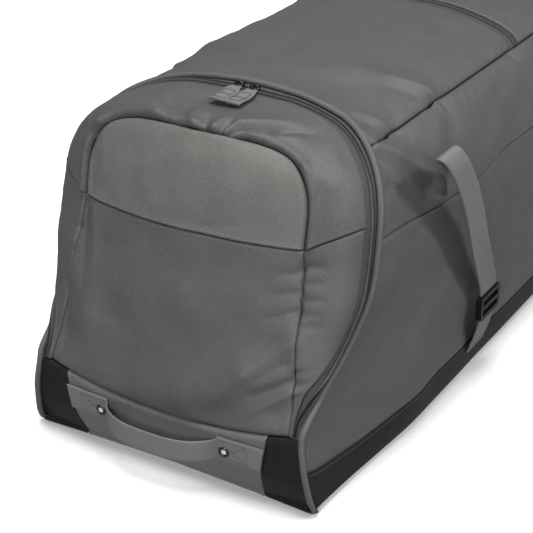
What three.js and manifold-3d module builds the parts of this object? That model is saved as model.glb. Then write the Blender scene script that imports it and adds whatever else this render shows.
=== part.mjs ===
// Rolling gear bag: a soft end-loading duffel on two wheels. A zipped door with a sewn pocket
// closes the front end, a second zipper crosses the top, and a webbing strap hauls each side.
// Millimetres, +Z up, the door faces -Y. The origin is on the floor under the middle of the box.

import * as THREE from 'three';
import { mergeVertices } from 'three/addons/utils/BufferGeometryUtils.js';
import Module from 'manifold-3d';

const wasm = await Module();
wasm.setup();

// Driving dimensions. "Back" is a distance along +Y from the front edge of the base.
const BODY_LENGTH = 840;
const HANDLE_TIP_BACK = -46;
const WHEEL_TAIL_BACK = 856;
const FRONT_Y = -(WHEEL_TAIL_BACK + HANDLE_TIP_BACK) / 2;
const CORE_Z = 200;               // height of the axis that the sections are drawn around

// Cloth and sewing
const CLOTH = 2;                  // wall of the grey panels
const BASE_CLOTH = 3;             // wall of the black base and corners
const WEBBING = 2.2;              // thickness of straps and handle
const SEAM_GAP = 0.6;             // clear space between two panels at a shared seam
const REST_GAP = 0.6;             // clear space under a piece that lies on cloth
const CURVED_GAP = 0.9;           // and under one that follows a tight curve of it
const SMALL_GAP = 0.3;            // clear space between two hard pieces
const PIPING_RADIUS = 3;
const PIPING_MARGIN = 5.2;        // from the piping's centre line to the next panel
const FRONT_BLEND = 260;          // length over which the front ring widens into the body
const TAIL_BLEND = 170;           // length over which the body draws in to the rear ring

// Front door
const DOOR_ROUNDNESS = 6;         // exponent of the rounded edge of the front end
const TAPE_WIDTH = 34;            // door zipper tape, measured inwards from the piping
const TAPE_FOOT_WIDTH = 14;       // and at its two ends
const COIL_START = 13;            // near edge of the zipper's teeth, measured the same way
const COIL_FOOT_START = 7;
const COIL_WIDTH = 6;
const COIL_HEIGHT = 1.8;
const POCKET_HALF_WIDTH = 150;
const POCKET_TOP = 416;
const POCKET_SIDE_TOP = 325;      // height at which the pocket's sides start to turn in
const POCKET_ROUNDNESS = 3.2;
const SEAM_MID_Z = 304;           // cross seam under the pocket, at the middle of the door
const SEAM_RISE = 2;              // how far it climbs to the pocket's sides
const SEAM_LIFT = 0.4;            // and beyond them, as a share of the way to the upper line
const STRIP_MID_Z = 87;           // seam over the low strip
const STRIP_RISE = 22;
const STRIP_REACH = 186;
const SKIRT_FOOT_HALF = 168;      // half width of the skirt at the strip
const STRIP_HALF_TOP = 143;       // half width of the grey strip between the black corners
const STRIP_HALF_FOOT = 130;

// Grab handle on the strip
const HANDLE_HALF = 141;
const HANDLE_GRIP_HALF = 77;
const HANDLE_Z = 66;
const HANDLE_WIDTH = 30;
const HANDLE_TURN = 3;            // exponents of the grip's arched plan
const HANDLE_ARCH = 0.8;
const RIVET_X = 88;
const RIVET_Z = 63;
const RIVET_RADIUS = 6;
const RIVET_HEIGHT = 2.4;

// Zipper across the top
const LID_ZIP_BACK = 589;
const LID_TAPE_HALF = 14;
const LID_COIL_HALF = 3;

// Sliders and pulls
const SLIDER_LENGTH = 14;
const SLIDER_WIDTH = 9;
const SLIDER_HEIGHT = 4;
const SLIDER_MIDDLE = 8;          // where the two sliders meet, right of the bag's middle
const SLIDER_OFFSET = 10.5;       // from there to each slider
const PULL_WIDTH = 20;
const PULL_LENGTH = 46;
const PULL_THICKNESS = 2.4;

// Haul straps
const STRAP_WIDTH = 48;
const BUCKLE = { width: 60, height: 34, depth: 8, frame: 6, radius: 5 };
const BUCKLE_CENTRE = { x: 234, back: 402, z: 110 };
const ANCHOR_BEND = { x: 227, back: 405, z: 66 };
const ANCHOR_FOOT = { x: 216.8, back: 408, z: 36 };

// Wheels under the rear edge
const WHEEL_X = 155;
const WHEEL_RADIUS = 38;
const WHEEL_WIDTH = 30;
const TYRE_THICKNESS = 9;
const AXLE_RADIUS = 5;
const AXLE_CLEARANCE = 0.5;
const WHEEL_FLOOR_GAP = 0.8;
const HOUSING_WALL = 4;
const HOUSING_GAP = 4;            // between the wheel and its housing
const HOUSING_LIP = 2;            // how far the housing stands out of the rear panel
const REAR_BULGE = 9;

const LENGTH_STEPS = 15;           // facets along the panels that run the whole length
const GIRTH_STEP = 32;             // longest facet around the girth
const REAR_STEP = 60;              // and around the flat rear end
const CORD_SIDES = 5;
const FLOOR_STEP = 200;            // and across the floor

const SIDES = [
  { name: 'right', sign: 1 },
  { name: 'left', sign: -1 },
];

// Named columns for a short table of numbers.
function table(columns, rows) {
  const names = columns.split(' ');
  return rows.map((row) => Object.fromEntries(names.map((name, i) => [name, row[i]])));
}

// Half the bag's girth from the top middle down to the base middle. Each row is one line that runs
// the length of the bag: where it leaves the front ring, in the middle, and at the rear ring.
const GIRTH = table('line frontX frontZ frontBack middleX middleZ tailX tailZ', [
  ['top_mid', 0, 436, 190, 0, 440, 0, 424],
  ['crown', 62, 432, 190, 62, 437, 62, 421],
  ['crown_edge', 122, 418, 188, 122, 425, 120, 410],
  ['shoulder', 170, 394, 166, 176, 400, 168, 386],
  ['upper', 197, 356, 144, 203, 352, 194, 344],
  ['seam', 205.2, 320, 132, 218, 299, 209, 296],
  ['bulge', 208, 255.5, 115, 223, 250, 214, 248],
  ['mid_side', 198, 194, 86, 222, 198, 213, 196],
  ['low_side', 188, 141, 30, 220, 142, 212, 142],
  ['waist', 185.5, 107, -4, 218, 88, 210, 90],
  ['band', 190.5, 66, -8, 215, 29, 207, 36],
  ['corner_top', 195.5, 26, -2, 213, 12, 204, 20],
  ['corner', 198, 9, 5, 208.5, 3.5, 199, 9],
  ['base_edge', 186, 4, 10, 198, 0, 188, 4],
  ['base_mid', 0, 4, 16, 0, 0, 0, 4],
]);

// Lean of the door's face at its middle, and how far it falls back at the pocket's sides.
const FACE = table('z back crown', [
  [0, 12, 0],
  [20, 0, 2],
  [50, -12, 4],
  [95, -14, 5],
  [150, -3, 13],
  [200, 10, 14],
  [306, 40, 14],
  [370, 48, 14],
  [436, 54, 14],
]);

// Folds of the body, on a map of girth (from the top middle, right side positive) and back.
const BODY_FOLDS = table('fromGirth fromBack toGirth toBack height width', [
  [182, 160, 182, 840, -4, 13],
  [-182, 160, -182, 840, -4, 13],
  [176, 340, 60, 285, 5, 24],
  [150, 250, 20, 225, -3, 30],
  [-176, 350, -70, 300, 5, 24],
  [190, 345, 250, 330, -4, 20],
  [192, 236, 270, 262, -5, 22],
  [205, 180, 280, 250, -4, 18],
  [-192, 250, -270, 280, -5, 22],
  [330, 150, 520, 230, 4, 40],
  [-330, 150, -520, 230, 4, 40],
  [300, 480, 520, 440, -4, 45],
  [-300, 500, -520, 460, -4, 45],
]);

// Folds of the door, on a map of across (X) and height (Z).
const DOOR_FOLDS = table('fromX fromZ toX toZ height width', [
  [30, 128, 165, 175, 6, 24],
  [60, 106, 160, 128, -4, 16],
  [-150, 240, -118, 150, 4, 20],
  [-40, 340, 40, 350, 4, 60],
  [70, 424, 150, 398, -5, 14],
  [-120, 416, -60, 426, -3, 14],
]);

// Paths of the haul straps, from the side seam up over the fold and down to the buckle.
const STRAP_PATHS = {
  right: table('x back z', [
    [217.6, 309, 304],
    [225, 287, 330],
    [231, 255, 360],
    [236, 229, 380],
    [244, 225, 382],
    [250, 236, 368],
    [251, 270, 325],
    [248, 308, 268],
    [243, 340, 212],
    [237, 374, 164],
    [234, 400, 127.8],
  ]),
  left: table('x back z', [
    [217.6, 309, 304],
    [226, 338, 326],
    [226, 396, 350],
    [219, 459, 368],
    [224, 481, 373],
    [237, 481, 360],
    [249, 462, 324],
    [252.5, 440, 276],
    [247, 424, 224],
    [239, 412, 172],
    [234, 402, 127.8],
  ]),
};

// Small helpers
const mix = (a, b, t) => a + (b - a) * t;
const clamp01 = (t) => Math.min(Math.max(t, 0), 1);

function smooth(t) {
  const c = clamp01(t);
  return c * c * (3 - 2 * c);
}

function spread(from, to, count) {
  return Array.from({ length: count + 1 }, (_, i) => mix(from, to, i / count));
}

// A smooth curve through the rows of a table column that never overshoots them.
function column(knots, values) {
  const slopes = knots.slice(1).map((knot, i) => (values[i + 1] - values[i]) / (knot - knots[i]));
  const tangents = values.map((_, i) => {
    const before = slopes[Math.max(i - 1, 0)];
    const after = slopes[Math.min(i, slopes.length - 1)];
    return before * after <= 0 ? 0 : (2 * before * after) / (before + after);
  });
  return (s) => {
    let i = 0;
    while (i < knots.length - 2 && s > knots[i + 1]) i += 1;
    const span = knots[i + 1] - knots[i];
    const t = clamp01((s - knots[i]) / span);
    const rise = t * t * (3 - 2 * t);
    const start = t * (1 - t) * (1 - t) * tangents[i];
    const end = t * t * (t - 1) * tangents[i + 1];
    return mix(values[i], values[i + 1], rise) + span * (start + end);
  };
}

// Height of the folds at one place of a map. Each fold is a soft ridge or valley along a line.
function foldHeight(folds, a, b) {
  let height = 0;
  for (const fold of folds) {
    const runA = fold.toA - fold.fromA;
    const runB = fold.toB - fold.fromB;
    const along = (a - fold.fromA) * runA + (b - fold.fromB) * runB;
    const t = clamp01(along / (runA * runA + runB * runB));
    const distance = Math.hypot(a - fold.fromA - t * runA, b - fold.fromB - t * runB);
    height += fold.height * Math.exp(-((distance / fold.width) ** 2));
  }
  return height;
}

function onMap(folds, keys) {
  const [fromA, fromB, toA, toB] = keys.split(' ');
  return folds.map((f) => ({ ...f, fromA: f[fromA], fromB: f[fromB], toA: f[toA], toB: f[toB] }));
}

const bodyFolds = onMap(BODY_FOLDS, 'fromGirth fromBack toGirth toBack');
const doorFolds = onMap(DOOR_FOLDS, 'fromX fromZ toX toZ');

// The girth table as smooth columns over a girth coordinate in millimetres.
const girthOf = {};
const halfKnots = [];
GIRTH.forEach((row, i) => {
  const above = GIRTH[Math.max(i - 1, 0)];
  const step = Math.hypot(row.middleX - above.middleX, row.middleZ - above.middleZ);
  halfKnots.push(i === 0 ? 0 : halfKnots[i - 1] + step);
  girthOf[row.line] = halfKnots[i];
});
const HALF_GIRTH = girthOf.base_mid;

function girthColumn(name, mirror) {
  const half = GIRTH.map((row) => row[name]);
  const knots = [...halfKnots.slice(1).reverse().map((knot) => -knot), ...halfKnots];
  const values = [...half.slice(1).reverse().map((value) => mirror * value), ...half];
  return column(knots, values);
}

const front = {
  x: girthColumn('frontX', -1),
  z: girthColumn('frontZ', 1),
  back: girthColumn('frontBack', 1),
};
const middle = { x: girthColumn('middleX', -1), z: girthColumn('middleZ', 1) };
const tail = { x: girthColumn('tailX', -1), z: girthColumn('tailZ', 1) };
const faceHeights = FACE.map((row) => row.z);
const faceBack = column(faceHeights, FACE.map((row) => row.back));
const faceCrown = column(faceHeights, FACE.map((row) => row.crown));

// Girth stations between two lines: every table row, and no step longer than the limit.
function girthStations(from, to, limit) {
  const low = Math.min(from, to);
  const high = Math.max(from, to);
  const signed = [...halfKnots, ...halfKnots.map((knot) => -knot)];
  const rows = [...new Set(signed)].filter((knot) => knot > low + 1 && knot < high - 1);
  const ends = [low, ...rows.sort((a, b) => a - b), high];
  const stations = [low];
  for (let i = 1; i < ends.length; i++) {
    const count = Math.ceil((ends[i] - ends[i - 1]) / limit);
    stations.push(...spread(ends[i - 1], ends[i], count).slice(1));
  }
  return from < to ? stations : stations.reverse();
}

// A point of the body's skin.
function bodyPoint(girth, back) {
  const intoBody = smooth((back - front.back(girth)) / FRONT_BLEND);
  const intoTail = smooth((back - BODY_LENGTH + TAIL_BLEND) / TAIL_BLEND);
  const x = mix(mix(front.x(girth), middle.x(girth), intoBody), tail.x(girth), intoTail);
  const z = mix(mix(front.z(girth), middle.z(girth), intoBody), tail.z(girth), intoTail);
  const fold = foldHeight(bodyFolds, girth, back);
  const radius = Math.hypot(x, z - CORE_Z);
  const swell = 1 + fold / radius;
  return new THREE.Vector3(x * swell, FRONT_Y + back, CORE_Z + (z - CORE_Z) * swell);
}

// The door's skin in its own coordinates: the girth of a ray from the core to the front ring, and
// a turn from 0 at the ring to a right angle at the core.
function smoothDoor(girth, turn) {
  const reach = Math.cos(turn) ** (2 / DOOR_ROUNDNESS);
  const rise = Math.sin(turn) ** (2 / DOOR_ROUNDNESS);
  const x = front.x(girth) * reach;
  const z = CORE_Z + (front.z(girth) - CORE_Z) * reach;
  const face = faceBack(z) + faceCrown(z) * (x / POCKET_HALF_WIDTH) ** 2;
  const back = mix(front.back(girth), face, rise);
  return { point: new THREE.Vector3(x, FRONT_Y + back, z), rise };
}

function doorPoint(girth, turn) {
  const { point, rise } = smoothDoor(girth, turn);
  return point.setY(point.y - rise * foldHeight(doorFolds, point.x, point.z));
}

// The same coordinates for a place given by its X and Z.
function doorCoords(x, z) {
  const angle = Math.atan2(z - CORE_Z, Math.abs(x));
  let low = 0;
  let high = HALF_GIRTH;
  for (let i = 0; i < 40; i++) {
    const mid = (low + high) / 2;
    if (Math.atan2(front.z(mid) - CORE_Z, front.x(mid)) > angle) low = mid;
    else high = mid;
  }
  const ring = Math.hypot(front.x(low), front.z(low) - CORE_Z);
  const reach = Math.min(Math.hypot(x, z - CORE_Z) / ring, 1);
  const turn = Math.acos(reach ** (DOOR_ROUNDNESS / 2));
  return { girth: x < 0 ? -low : low, turn };
}

function doorAt(x, z) {
  const { girth, turn } = doorCoords(x, z);
  return doorPoint(girth, turn);
}

// Outward normal of the door's face, away from its rounded edge.
function faceNormal({ x, z }) {
  const nudge = 0.1;
  const slopeX = (doorAt(x + nudge, z).y - doorAt(x - nudge, z).y) / (2 * nudge);
  const slopeZ = (doorAt(x, z + nudge).y - doorAt(x, z - nudge).y) / (2 * nudge);
  return new THREE.Vector3(slopeX, -1, slopeZ).normalize();
}

// Turn of the place that lies this far in from the ring, measured along the unfolded cloth.
function turnAtDistance(girth, distance) {
  const steps = 160;
  let walked = 0;
  let last = { turn: 0, point: smoothDoor(girth, 0).point };
  for (let i = 1; i <= steps; i++) {
    const turn = (Math.PI / 2) * (i / steps) ** (DOOR_ROUNDNESS / 2);
    const next = { turn, point: smoothDoor(girth, turn).point };
    const step = next.point.distanceTo(last.point);
    if (walked + step >= distance) return mix(last.turn, turn, (distance - walked) / step);
    walked += step;
    last = next;
  }
  return Math.PI / 2;
}

function between(a, b, t) {
  return { girth: mix(a.girth, b.girth, t), turn: mix(a.turn, b.turn, t) };
}

function onDoor({ girth, turn }, sign = 1) {
  return doorPoint(sign * girth, turn);
}

const unfolded = ({ girth, turn }) => smoothDoor(girth, turn).point;

// Seam lines of the door
const crossSeamZ = (x) => SEAM_MID_Z + SEAM_RISE * (x / POCKET_HALF_WIDTH) ** 2;
const stripSeamZ = (x) => STRIP_MID_Z + STRIP_RISE * (x / STRIP_REACH) ** 2;

function pocketTopZ(x) {
  const out = Math.min(Math.abs(x) / POCKET_HALF_WIDTH, 1) ** POCKET_ROUNDNESS;
  return mix(POCKET_SIDE_TOP, POCKET_TOP, (1 - out) ** (1 / POCKET_ROUNDNESS));
}

// Zipper lines, as distances in from the ring. The tape narrows towards its two ends.
const tapeTaper = (girth) =>
  smooth((Math.abs(girth) - girthOf.mid_side) / (girthOf.waist - girthOf.mid_side));
const tapeWidth = (girth) => mix(TAPE_WIDTH, TAPE_FOOT_WIDTH, tapeTaper(girth));
const coilStart = (girth) => mix(COIL_START, COIL_FOOT_START, tapeTaper(girth));

// Lines across the tape: its outer third, the teeth, and its inner third.
function acrossTape(share) {
  return (girth) => {
    const start = coilStart(girth);
    const lines = [PIPING_MARGIN, start, start + COIL_WIDTH, tapeWidth(girth)];
    const third = Math.min(Math.max(Math.floor(3 * share), 0), 2);
    return mix(lines[third], lines[third + 1], 3 * share - third);
  };
}

const acrossCoil = (share) => acrossTape((1 + share) / 3);
const doorLine = (distanceAt, girth) => ({ girth, turn: turnAtDistance(girth, distanceAt(girth)) });
const ringEdge = (girth) => doorLine(acrossTape(0), girth);
const tapeEdge = (girth) => doorLine(acrossTape(1), girth);

// Girth at which a zipper line meets the seam over the strip, right side.
function lineFoot(distanceAt) {
  let low = girthOf.mid_side;
  let high = girthOf.band;
  for (let i = 0; i < 30; i++) {
    const girth = (low + high) / 2;
    const { point } = smoothDoor(girth, turnAtDistance(girth, distanceAt(girth)));
    if (point.z > stripSeamZ(point.x)) low = girth;
    else high = girth;
  }
  return low;
}

// A band of the zipper from foot to foot: u from -1 to 1 along it, share from 0 to 1 across it.
function zipperBand(across) {
  const feet = new Map();
  return (u, share) => {
    const distanceAt = across(share);
    if (!feet.has(share)) feet.set(share, lineFoot(distanceAt));
    const { girth, turn } = doorLine(distanceAt, u * feet.get(share));
    return doorPoint(girth, turn);
  };
}

// Corners where seams of the door meet, right side
const SEAM_CORNER = doorCoords(POCKET_HALF_WIDTH, crossSeamZ(POCKET_HALF_WIDTH));
const SKIRT_FOOT = doorCoords(SKIRT_FOOT_HALF, stripSeamZ(SKIRT_FOOT_HALF));
const TAPE_FOOT = tapeEdge(lineFoot(acrossTape(1)));
const RING_FOOT = ringEdge(lineFoot(acrossTape(0)));

// A patch between four edges that meet at their ends, blended across X and Z.
function coons(top, bottom, left, right) {
  const blend = (key, u, v) => {
    const rows = mix(top(v)[key], bottom(v)[key], u);
    const columns = mix(left(u)[key], right(u)[key], v);
    const corners = mix(mix(top(0)[key], top(1)[key], v), mix(bottom(0)[key], bottom(1)[key], v), u);
    return rows + columns - corners;
  };
  return (u, v) => ({ x: blend('x', u, v), z: blend('z', u, v) });
}

// Solids
const HEART = new THREE.Vector3(0, FRONT_Y + BODY_LENGTH / 2, CORE_Z);

function closedGeometry(points, triangles) {
  let volume = 0;
  const normal = new THREE.Vector3();
  for (const [a, b, c] of triangles) {
    volume += points[a].dot(normal.crossVectors(points[b], points[c]));
  }
  const outward = volume > 0 ? triangles : triangles.map(([a, b, c]) => [a, c, b]);
  const geometry = new THREE.BufferGeometry().setFromPoints(points);
  geometry.setIndex(outward.flat());
  geometry.computeVertexNormals();
  return geometry;
}

// Points and outward normals of a surface over a grid of stations.
function surfaceGrid(surface, uStations, vStations) {
  const nudge = 1e-3;
  const uNudge = nudge * (uStations.at(-1) - uStations[0]);
  const vNudge = nudge * (vStations.at(-1) - vStations[0]);
  const grid = [];
  let facing = 0;
  for (const v of vStations) {
    for (const u of uStations) {
      const point = surface(u, v);
      const alongU = surface(u + uNudge, v).sub(surface(u - uNudge, v)).normalize();
      const alongV = surface(u, v + vNudge).sub(surface(u, v - vNudge)).normalize();
      const normal = surface.normalAt?.(point) ?? alongU.clone().cross(alongV).normalize();
      facing += normal.dot(point.clone().sub(HEART).normalize());
      grid.push({ point, alongU, normal });
    }
  }
  if (facing < 0) grid.forEach((place) => place.normal.negate());
  return grid;
}

// Indices around the edge of a grid, in one loop.
function gridRim(columns, rows) {
  const rim = [];
  for (let i = 0; i < columns - 1; i++) rim.push(i);
  for (let j = 0; j < rows - 1; j++) rim.push(j * columns + columns - 1);
  for (let i = columns - 1; i > 0; i--) rim.push((rows - 1) * columns + i);
  for (let j = rows - 1; j > 0; j--) rim.push(j * columns);
  return rim;
}

// Draws the edge of a grid in by a gap, square to the edge and along the surface.
function insetRim(grid, columns, rim, gap) {
  const count = rim.length;
  const inward = rim.map((k, i) => {
    const before = grid[rim[(i + count - 1) % count]].point;
    const after = grid[rim[(i + 1) % count]].point;
    return grid[k].normal.clone().cross(after.clone().sub(before)).normalize();
  });
  const secondRow = grid[columns].point.clone().sub(grid[0].point);
  const sign = Math.sign(inward[0].dot(secondRow));
  rim.forEach((k, i) => grid[k].point.addScaledVector(inward[i], sign * gap));
}

// Two panels split the walls along their shared seam the same way: towards this direction.
const WALL_DIAGONAL = new THREE.Vector3(0.3, 0.5, 0.8);

// A closed cloth sheet over a grid of stations, between two offsets along the outward normal.
function sheet(surface, uStations, vStations, inner, outer, edgeGap = SEAM_GAP / 2) {
  const columns = uStations.length;
  const rows = vStations.length;
  const grid = surfaceGrid(surface, uStations, vStations);
  const rim = gridRim(columns, rows);
  insetRim(grid, columns, rim, edgeGap);
  const layer = (offset) => grid.map((p) => p.point.clone().addScaledVector(p.normal, offset));
  const points = [...layer(outer), ...layer(inner)];
  const below = grid.length;
  const triangles = [];
  const quad = (a, b, c, d) => triangles.push([a, b, c], [a, c, d]);
  for (let j = 0; j < rows - 1; j++) {
    for (let i = 0; i < columns - 1; i++) {
      const a = j * columns + i;
      const d = a + columns;
      quad(a, a + 1, d + 1, d);
      quad(below + a, below + d, below + d + 1, below + a + 1);
    }
  }
  rim.forEach((a, k) => {
    const b = rim[(k + 1) % rim.length];
    const lead = points[a].dot(WALL_DIAGONAL) > points[b].dot(WALL_DIAGONAL);
    if (lead) quad(b, a, below + a, below + b);
    else quad(a, below + a, below + b, b);
  });
  return closedGeometry(points, triangles);
}

// A closed cap over a loop of stations: rings that shrink to one middle point.
function capSheet(surface, stations, reaches, inner, outer) {
  const count = stations.length;
  const shell = (offset) => {
    const rings = reaches.flatMap((reach) => stations.map((s) => surface(s, reach)));
    const points = [...rings, surface(stations[0], 0)];
    points.forEach((point) => point.setY(point.y + offset));
    return points;
  };
  const points = [...shell(outer), ...shell(inner)];
  const below = points.length / 2;
  const centre = below - 1;
  const triangles = [];
  const quad = (a, b, c, d) => triangles.push([a, b, c], [a, c, d]);
  stations.forEach((_, i) => {
    const next = (i + 1) % count;
    for (let r = 0; r < reaches.length - 1; r++) {
      const a = r * count + i;
      const b = r * count + next;
      quad(a, b, b + count, a + count);
      quad(below + b, below + a, below + a + count, below + b + count);
    }
    const last = (reaches.length - 1) * count;
    triangles.push([last + i, last + next, centre]);
    triangles.push([below + last + next, below + last + i, below + centre]);
    quad(next, i, below + i, below + next);
  });
  return closedGeometry(points, triangles);
}

// A round cord along a closed line, with its section set square to the line.
function loopCord(line, stations, sides, radius) {
  const points = [];
  const count = stations.length;
  stations.forEach((s, i) => {
    const before = line(stations[(i + count - 1) % count]);
    const after = line(stations[(i + 1) % count]);
    const centre = line(s);
    const tangent = after.sub(before).normalize();
    const out = centre.clone().sub(new THREE.Vector3(0, centre.y, CORE_Z));
    out.addScaledVector(tangent, -out.dot(tangent)).normalize();
    const across = tangent.clone().cross(out);
    for (let k = 0; k < sides; k++) {
      const angle = (2 * Math.PI * k) / sides;
      const point = centre.clone().addScaledVector(out, radius * Math.cos(angle));
      points.push(point.addScaledVector(across, radius * Math.sin(angle)));
    }
  });
  const triangles = [];
  for (let i = 0; i < count; i++) {
    for (let k = 0; k < sides; k++) {
      const a = i * sides + k;
      const b = i * sides + ((k + 1) % sides);
      const c = ((i + 1) % count) * sides + k;
      const d = ((i + 1) % count) * sides + ((k + 1) % sides);
      triangles.push([a, b, d], [a, d, c]);
    }
  }
  return closedGeometry(points, triangles);
}

function toSolid(geometry) {
  const bare = geometry.clone();
  bare.deleteAttribute('normal');
  bare.deleteAttribute('uv');
  const merged = mergeVertices(bare, 1e-4);
  const vertProperties = new Float32Array(merged.attributes.position.array);
  const triVerts = new Uint32Array(merged.index.array);
  return new wasm.Manifold(new wasm.Mesh({ numProp: 3, vertProperties, triVerts }));
}

function toGeometry(solid) {
  const mesh = solid.getMesh();
  const geometry = new THREE.BufferGeometry();
  geometry.setAttribute('position', new THREE.BufferAttribute(mesh.vertProperties, 3));
  geometry.setIndex(new THREE.BufferAttribute(mesh.triVerts, 1));
  geometry.computeVertexNormals();
  return geometry;
}

// Materials
const surfaceOf = (color, roughness, metalness = 0) =>
  new THREE.MeshStandardMaterial({ color, roughness, metalness });
const GREY_CLOTH = surfaceOf(0x646567, 0.9);
const BLACK_CLOTH = surfaceOf(0x2b2b2f, 0.75);
const GREY_WEBBING = surfaceOf(0x66676a, 0.85);
const PIPING_CLOTH = surfaceOf(0x505155, 0.85);
const ZIPPER_TAPE = surfaceOf(0x55565a, 0.85);
const ZIPPER_TEETH = surfaceOf(0x2e2e30, 0.5);
const PULL_CLOTH = surfaceOf(0x909296, 0.85);
const DARK_METAL = surfaceOf(0x3a3a3d, 0.4, 1);
const BLACK_PLASTIC = surfaceOf(0x1c1c1e, 0.55);
const TYRE_RUBBER = surfaceOf(0x222224, 0.85);

const bag = new THREE.Group();

function addPiece(name, geometry, material) {
  const mesh = new THREE.Mesh(geometry, material);
  mesh.name = name;
  bag.add(mesh);
  return mesh;
}

// Body panels between two lines of the girth
const frontEdge = (girth) => front.back(girth) + PIPING_MARGIN;
const REAR_EDGE = BODY_LENGTH - PIPING_MARGIN;

function bodyPanel(stations, lengths, startBack, endBack, thickness) {
  const surface = (girth, t) => bodyPoint(girth, mix(startBack(girth), endBack, t));
  return sheet(surface, stations, lengths, -thickness, 0);
}

function buildBody() {
  for (const side of SIDES) {
    const upper = girthStations(girthOf.shoulder, girthOf.seam, GIRTH_STEP).map((g) => side.sign * g);
    const upperPanel = bodyPanel(upper, spread(0, 1, LENGTH_STEPS), frontEdge, REAR_EDGE, CLOTH);
    addPiece(`side_upper_${side.name}`, upperPanel, GREY_CLOTH);
    const lower = girthStations(girthOf.seam, girthOf.band, GIRTH_STEP).map((g) => side.sign * g);
    const lowerPanel = bodyPanel(lower, spread(0, 1, LENGTH_STEPS), frontEdge, REAR_EDGE, CLOTH);
    addPiece(`side_lower_${side.name}`, lowerPanel, GREY_CLOTH);
  }
  const top = girthStations(-girthOf.shoulder, girthOf.shoulder, GIRTH_STEP);
  const topEnd = LID_ZIP_BACK - LID_TAPE_HALF;
  addPiece('top_panel', bodyPanel(top, spread(0, 1, 11), frontEdge, topEnd, CLOTH), GREY_CLOTH);
  const lidStart = () => LID_ZIP_BACK + LID_TAPE_HALF;
  addPiece('lid_panel', bodyPanel(top, spread(0, 1, 6), lidStart, REAR_EDGE, CLOTH), GREY_CLOTH);
}

// The black floor with its side bands, cut out for the wheel housings.
function buildBase(housings) {
  const right = girthStations(girthOf.band, HALF_GIRTH, FLOOR_STEP);
  const left = right.slice(0, -1).reverse().map((g) => 2 * HALF_GIRTH - g);
  const around = [...right, ...left];
  const surface = (place, t) => {
    const girth = place > HALF_GIRTH ? place - 2 * HALF_GIRTH : place;
    return bodyPoint(girth, mix(frontEdge(girth), REAR_EDGE, t));
  };
  let floor = toSolid(sheet(surface, around, spread(0, 1, LENGTH_STEPS), -BASE_CLOTH, 0));
  for (const housing of housings) floor = floor.subtract(housing);
  addPiece('base_tray', toGeometry(floor), BLACK_CLOTH);
}

// The rear end: one bulged panel and its piping, cut out for the wheel housings.
function buildRear(housings) {
  const loop = girthStations(-HALF_GIRTH, HALF_GIRTH, REAR_STEP).slice(0, -1);
  const ringLine = (girth) => new THREE.Vector3(tail.x(girth), FRONT_Y + BODY_LENGTH, tail.z(girth));
  const rim = 1 - PIPING_MARGIN / CORE_Z;
  const surface = (girth, reach) => {
    const crown = REAR_BULGE * (1 - (reach / rim) ** DOOR_ROUNDNESS) ** (1 / DOOR_ROUNDNESS);
    const z = CORE_Z + (tail.z(girth) - CORE_Z) * reach;
    return new THREE.Vector3(tail.x(girth) * reach, FRONT_Y + BODY_LENGTH + crown, z);
  };
  const reaches = [1, 0.9, 0.5].map((share) => share * rim);
  let panel = toSolid(capSheet(surface, loop, reaches, -CLOTH, 0));
  let piping = toSolid(loopCord(ringLine, loop, CORD_SIDES, PIPING_RADIUS));
  for (const housing of housings) {
    panel = panel.subtract(housing);
    piping = piping.subtract(housing);
  }
  const between = new THREE.BoxGeometry(2 * WHEEL_X, CUT_EXTRA, CUT_EXTRA);
  const foot = toSolid(between.translate(0, FRONT_Y + BODY_LENGTH, 0));
  addPiece('rear_panel', toGeometry(panel), GREY_CLOTH);
  addPiece('rear_piping', toGeometry(piping.subtract(foot)), PIPING_CLOTH);
  addPiece('rear_piping_foot', toGeometry(piping.intersect(foot)), PIPING_CLOTH);
}

// Door panels inside the zipper. Panels that share a seam share its stations.
const POCKET_COLUMNS = 14;
const POCKET_ROWS = 6;
const SKIRT_ROWS = 8;
const BORDER_ROWS = 4;

// Edge of the pocket from -1 at its left foot, over the top, to 1 at its right foot.
function pocketOutline(u) {
  const topShare = POCKET_COLUMNS / (POCKET_COLUMNS + 2 * POCKET_ROWS);
  const across = Math.min(Math.abs(u) / topShare, 1);
  const down = Math.max(Math.abs(u) - topShare, 0) / (1 - topShare);
  const x = Math.sign(u) * POCKET_HALF_WIDTH * Math.sin((Math.PI / 2) * across);
  return doorCoords(x, mix(pocketTopZ(x), crossSeamZ(x), down));
}

// Where the arch and the cheeks meet the zipper tape.
const ARCH_COLUMNS = spread(-1, 1, POCKET_COLUMNS + 2 * POCKET_ROWS);
const SEAM_END = mix(girthOf.seam, girthOf.upper, SEAM_LIFT);
const archGirth = (u) => pocketOutline(u).girth * (SEAM_END / SEAM_CORNER.girth);
const cheekGirth = (u) => mix(SEAM_END, TAPE_FOOT.girth, u);

function tapeStations() {
  const right = spread(0, 1, SKIRT_ROWS).slice(1).map(cheekGirth);
  const left = right.map((girth) => -girth).reverse();
  return [...left, ...ARCH_COLUMNS.map(archGirth), ...right].map((girth) => girth / TAPE_FOOT.girth);
}

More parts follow.
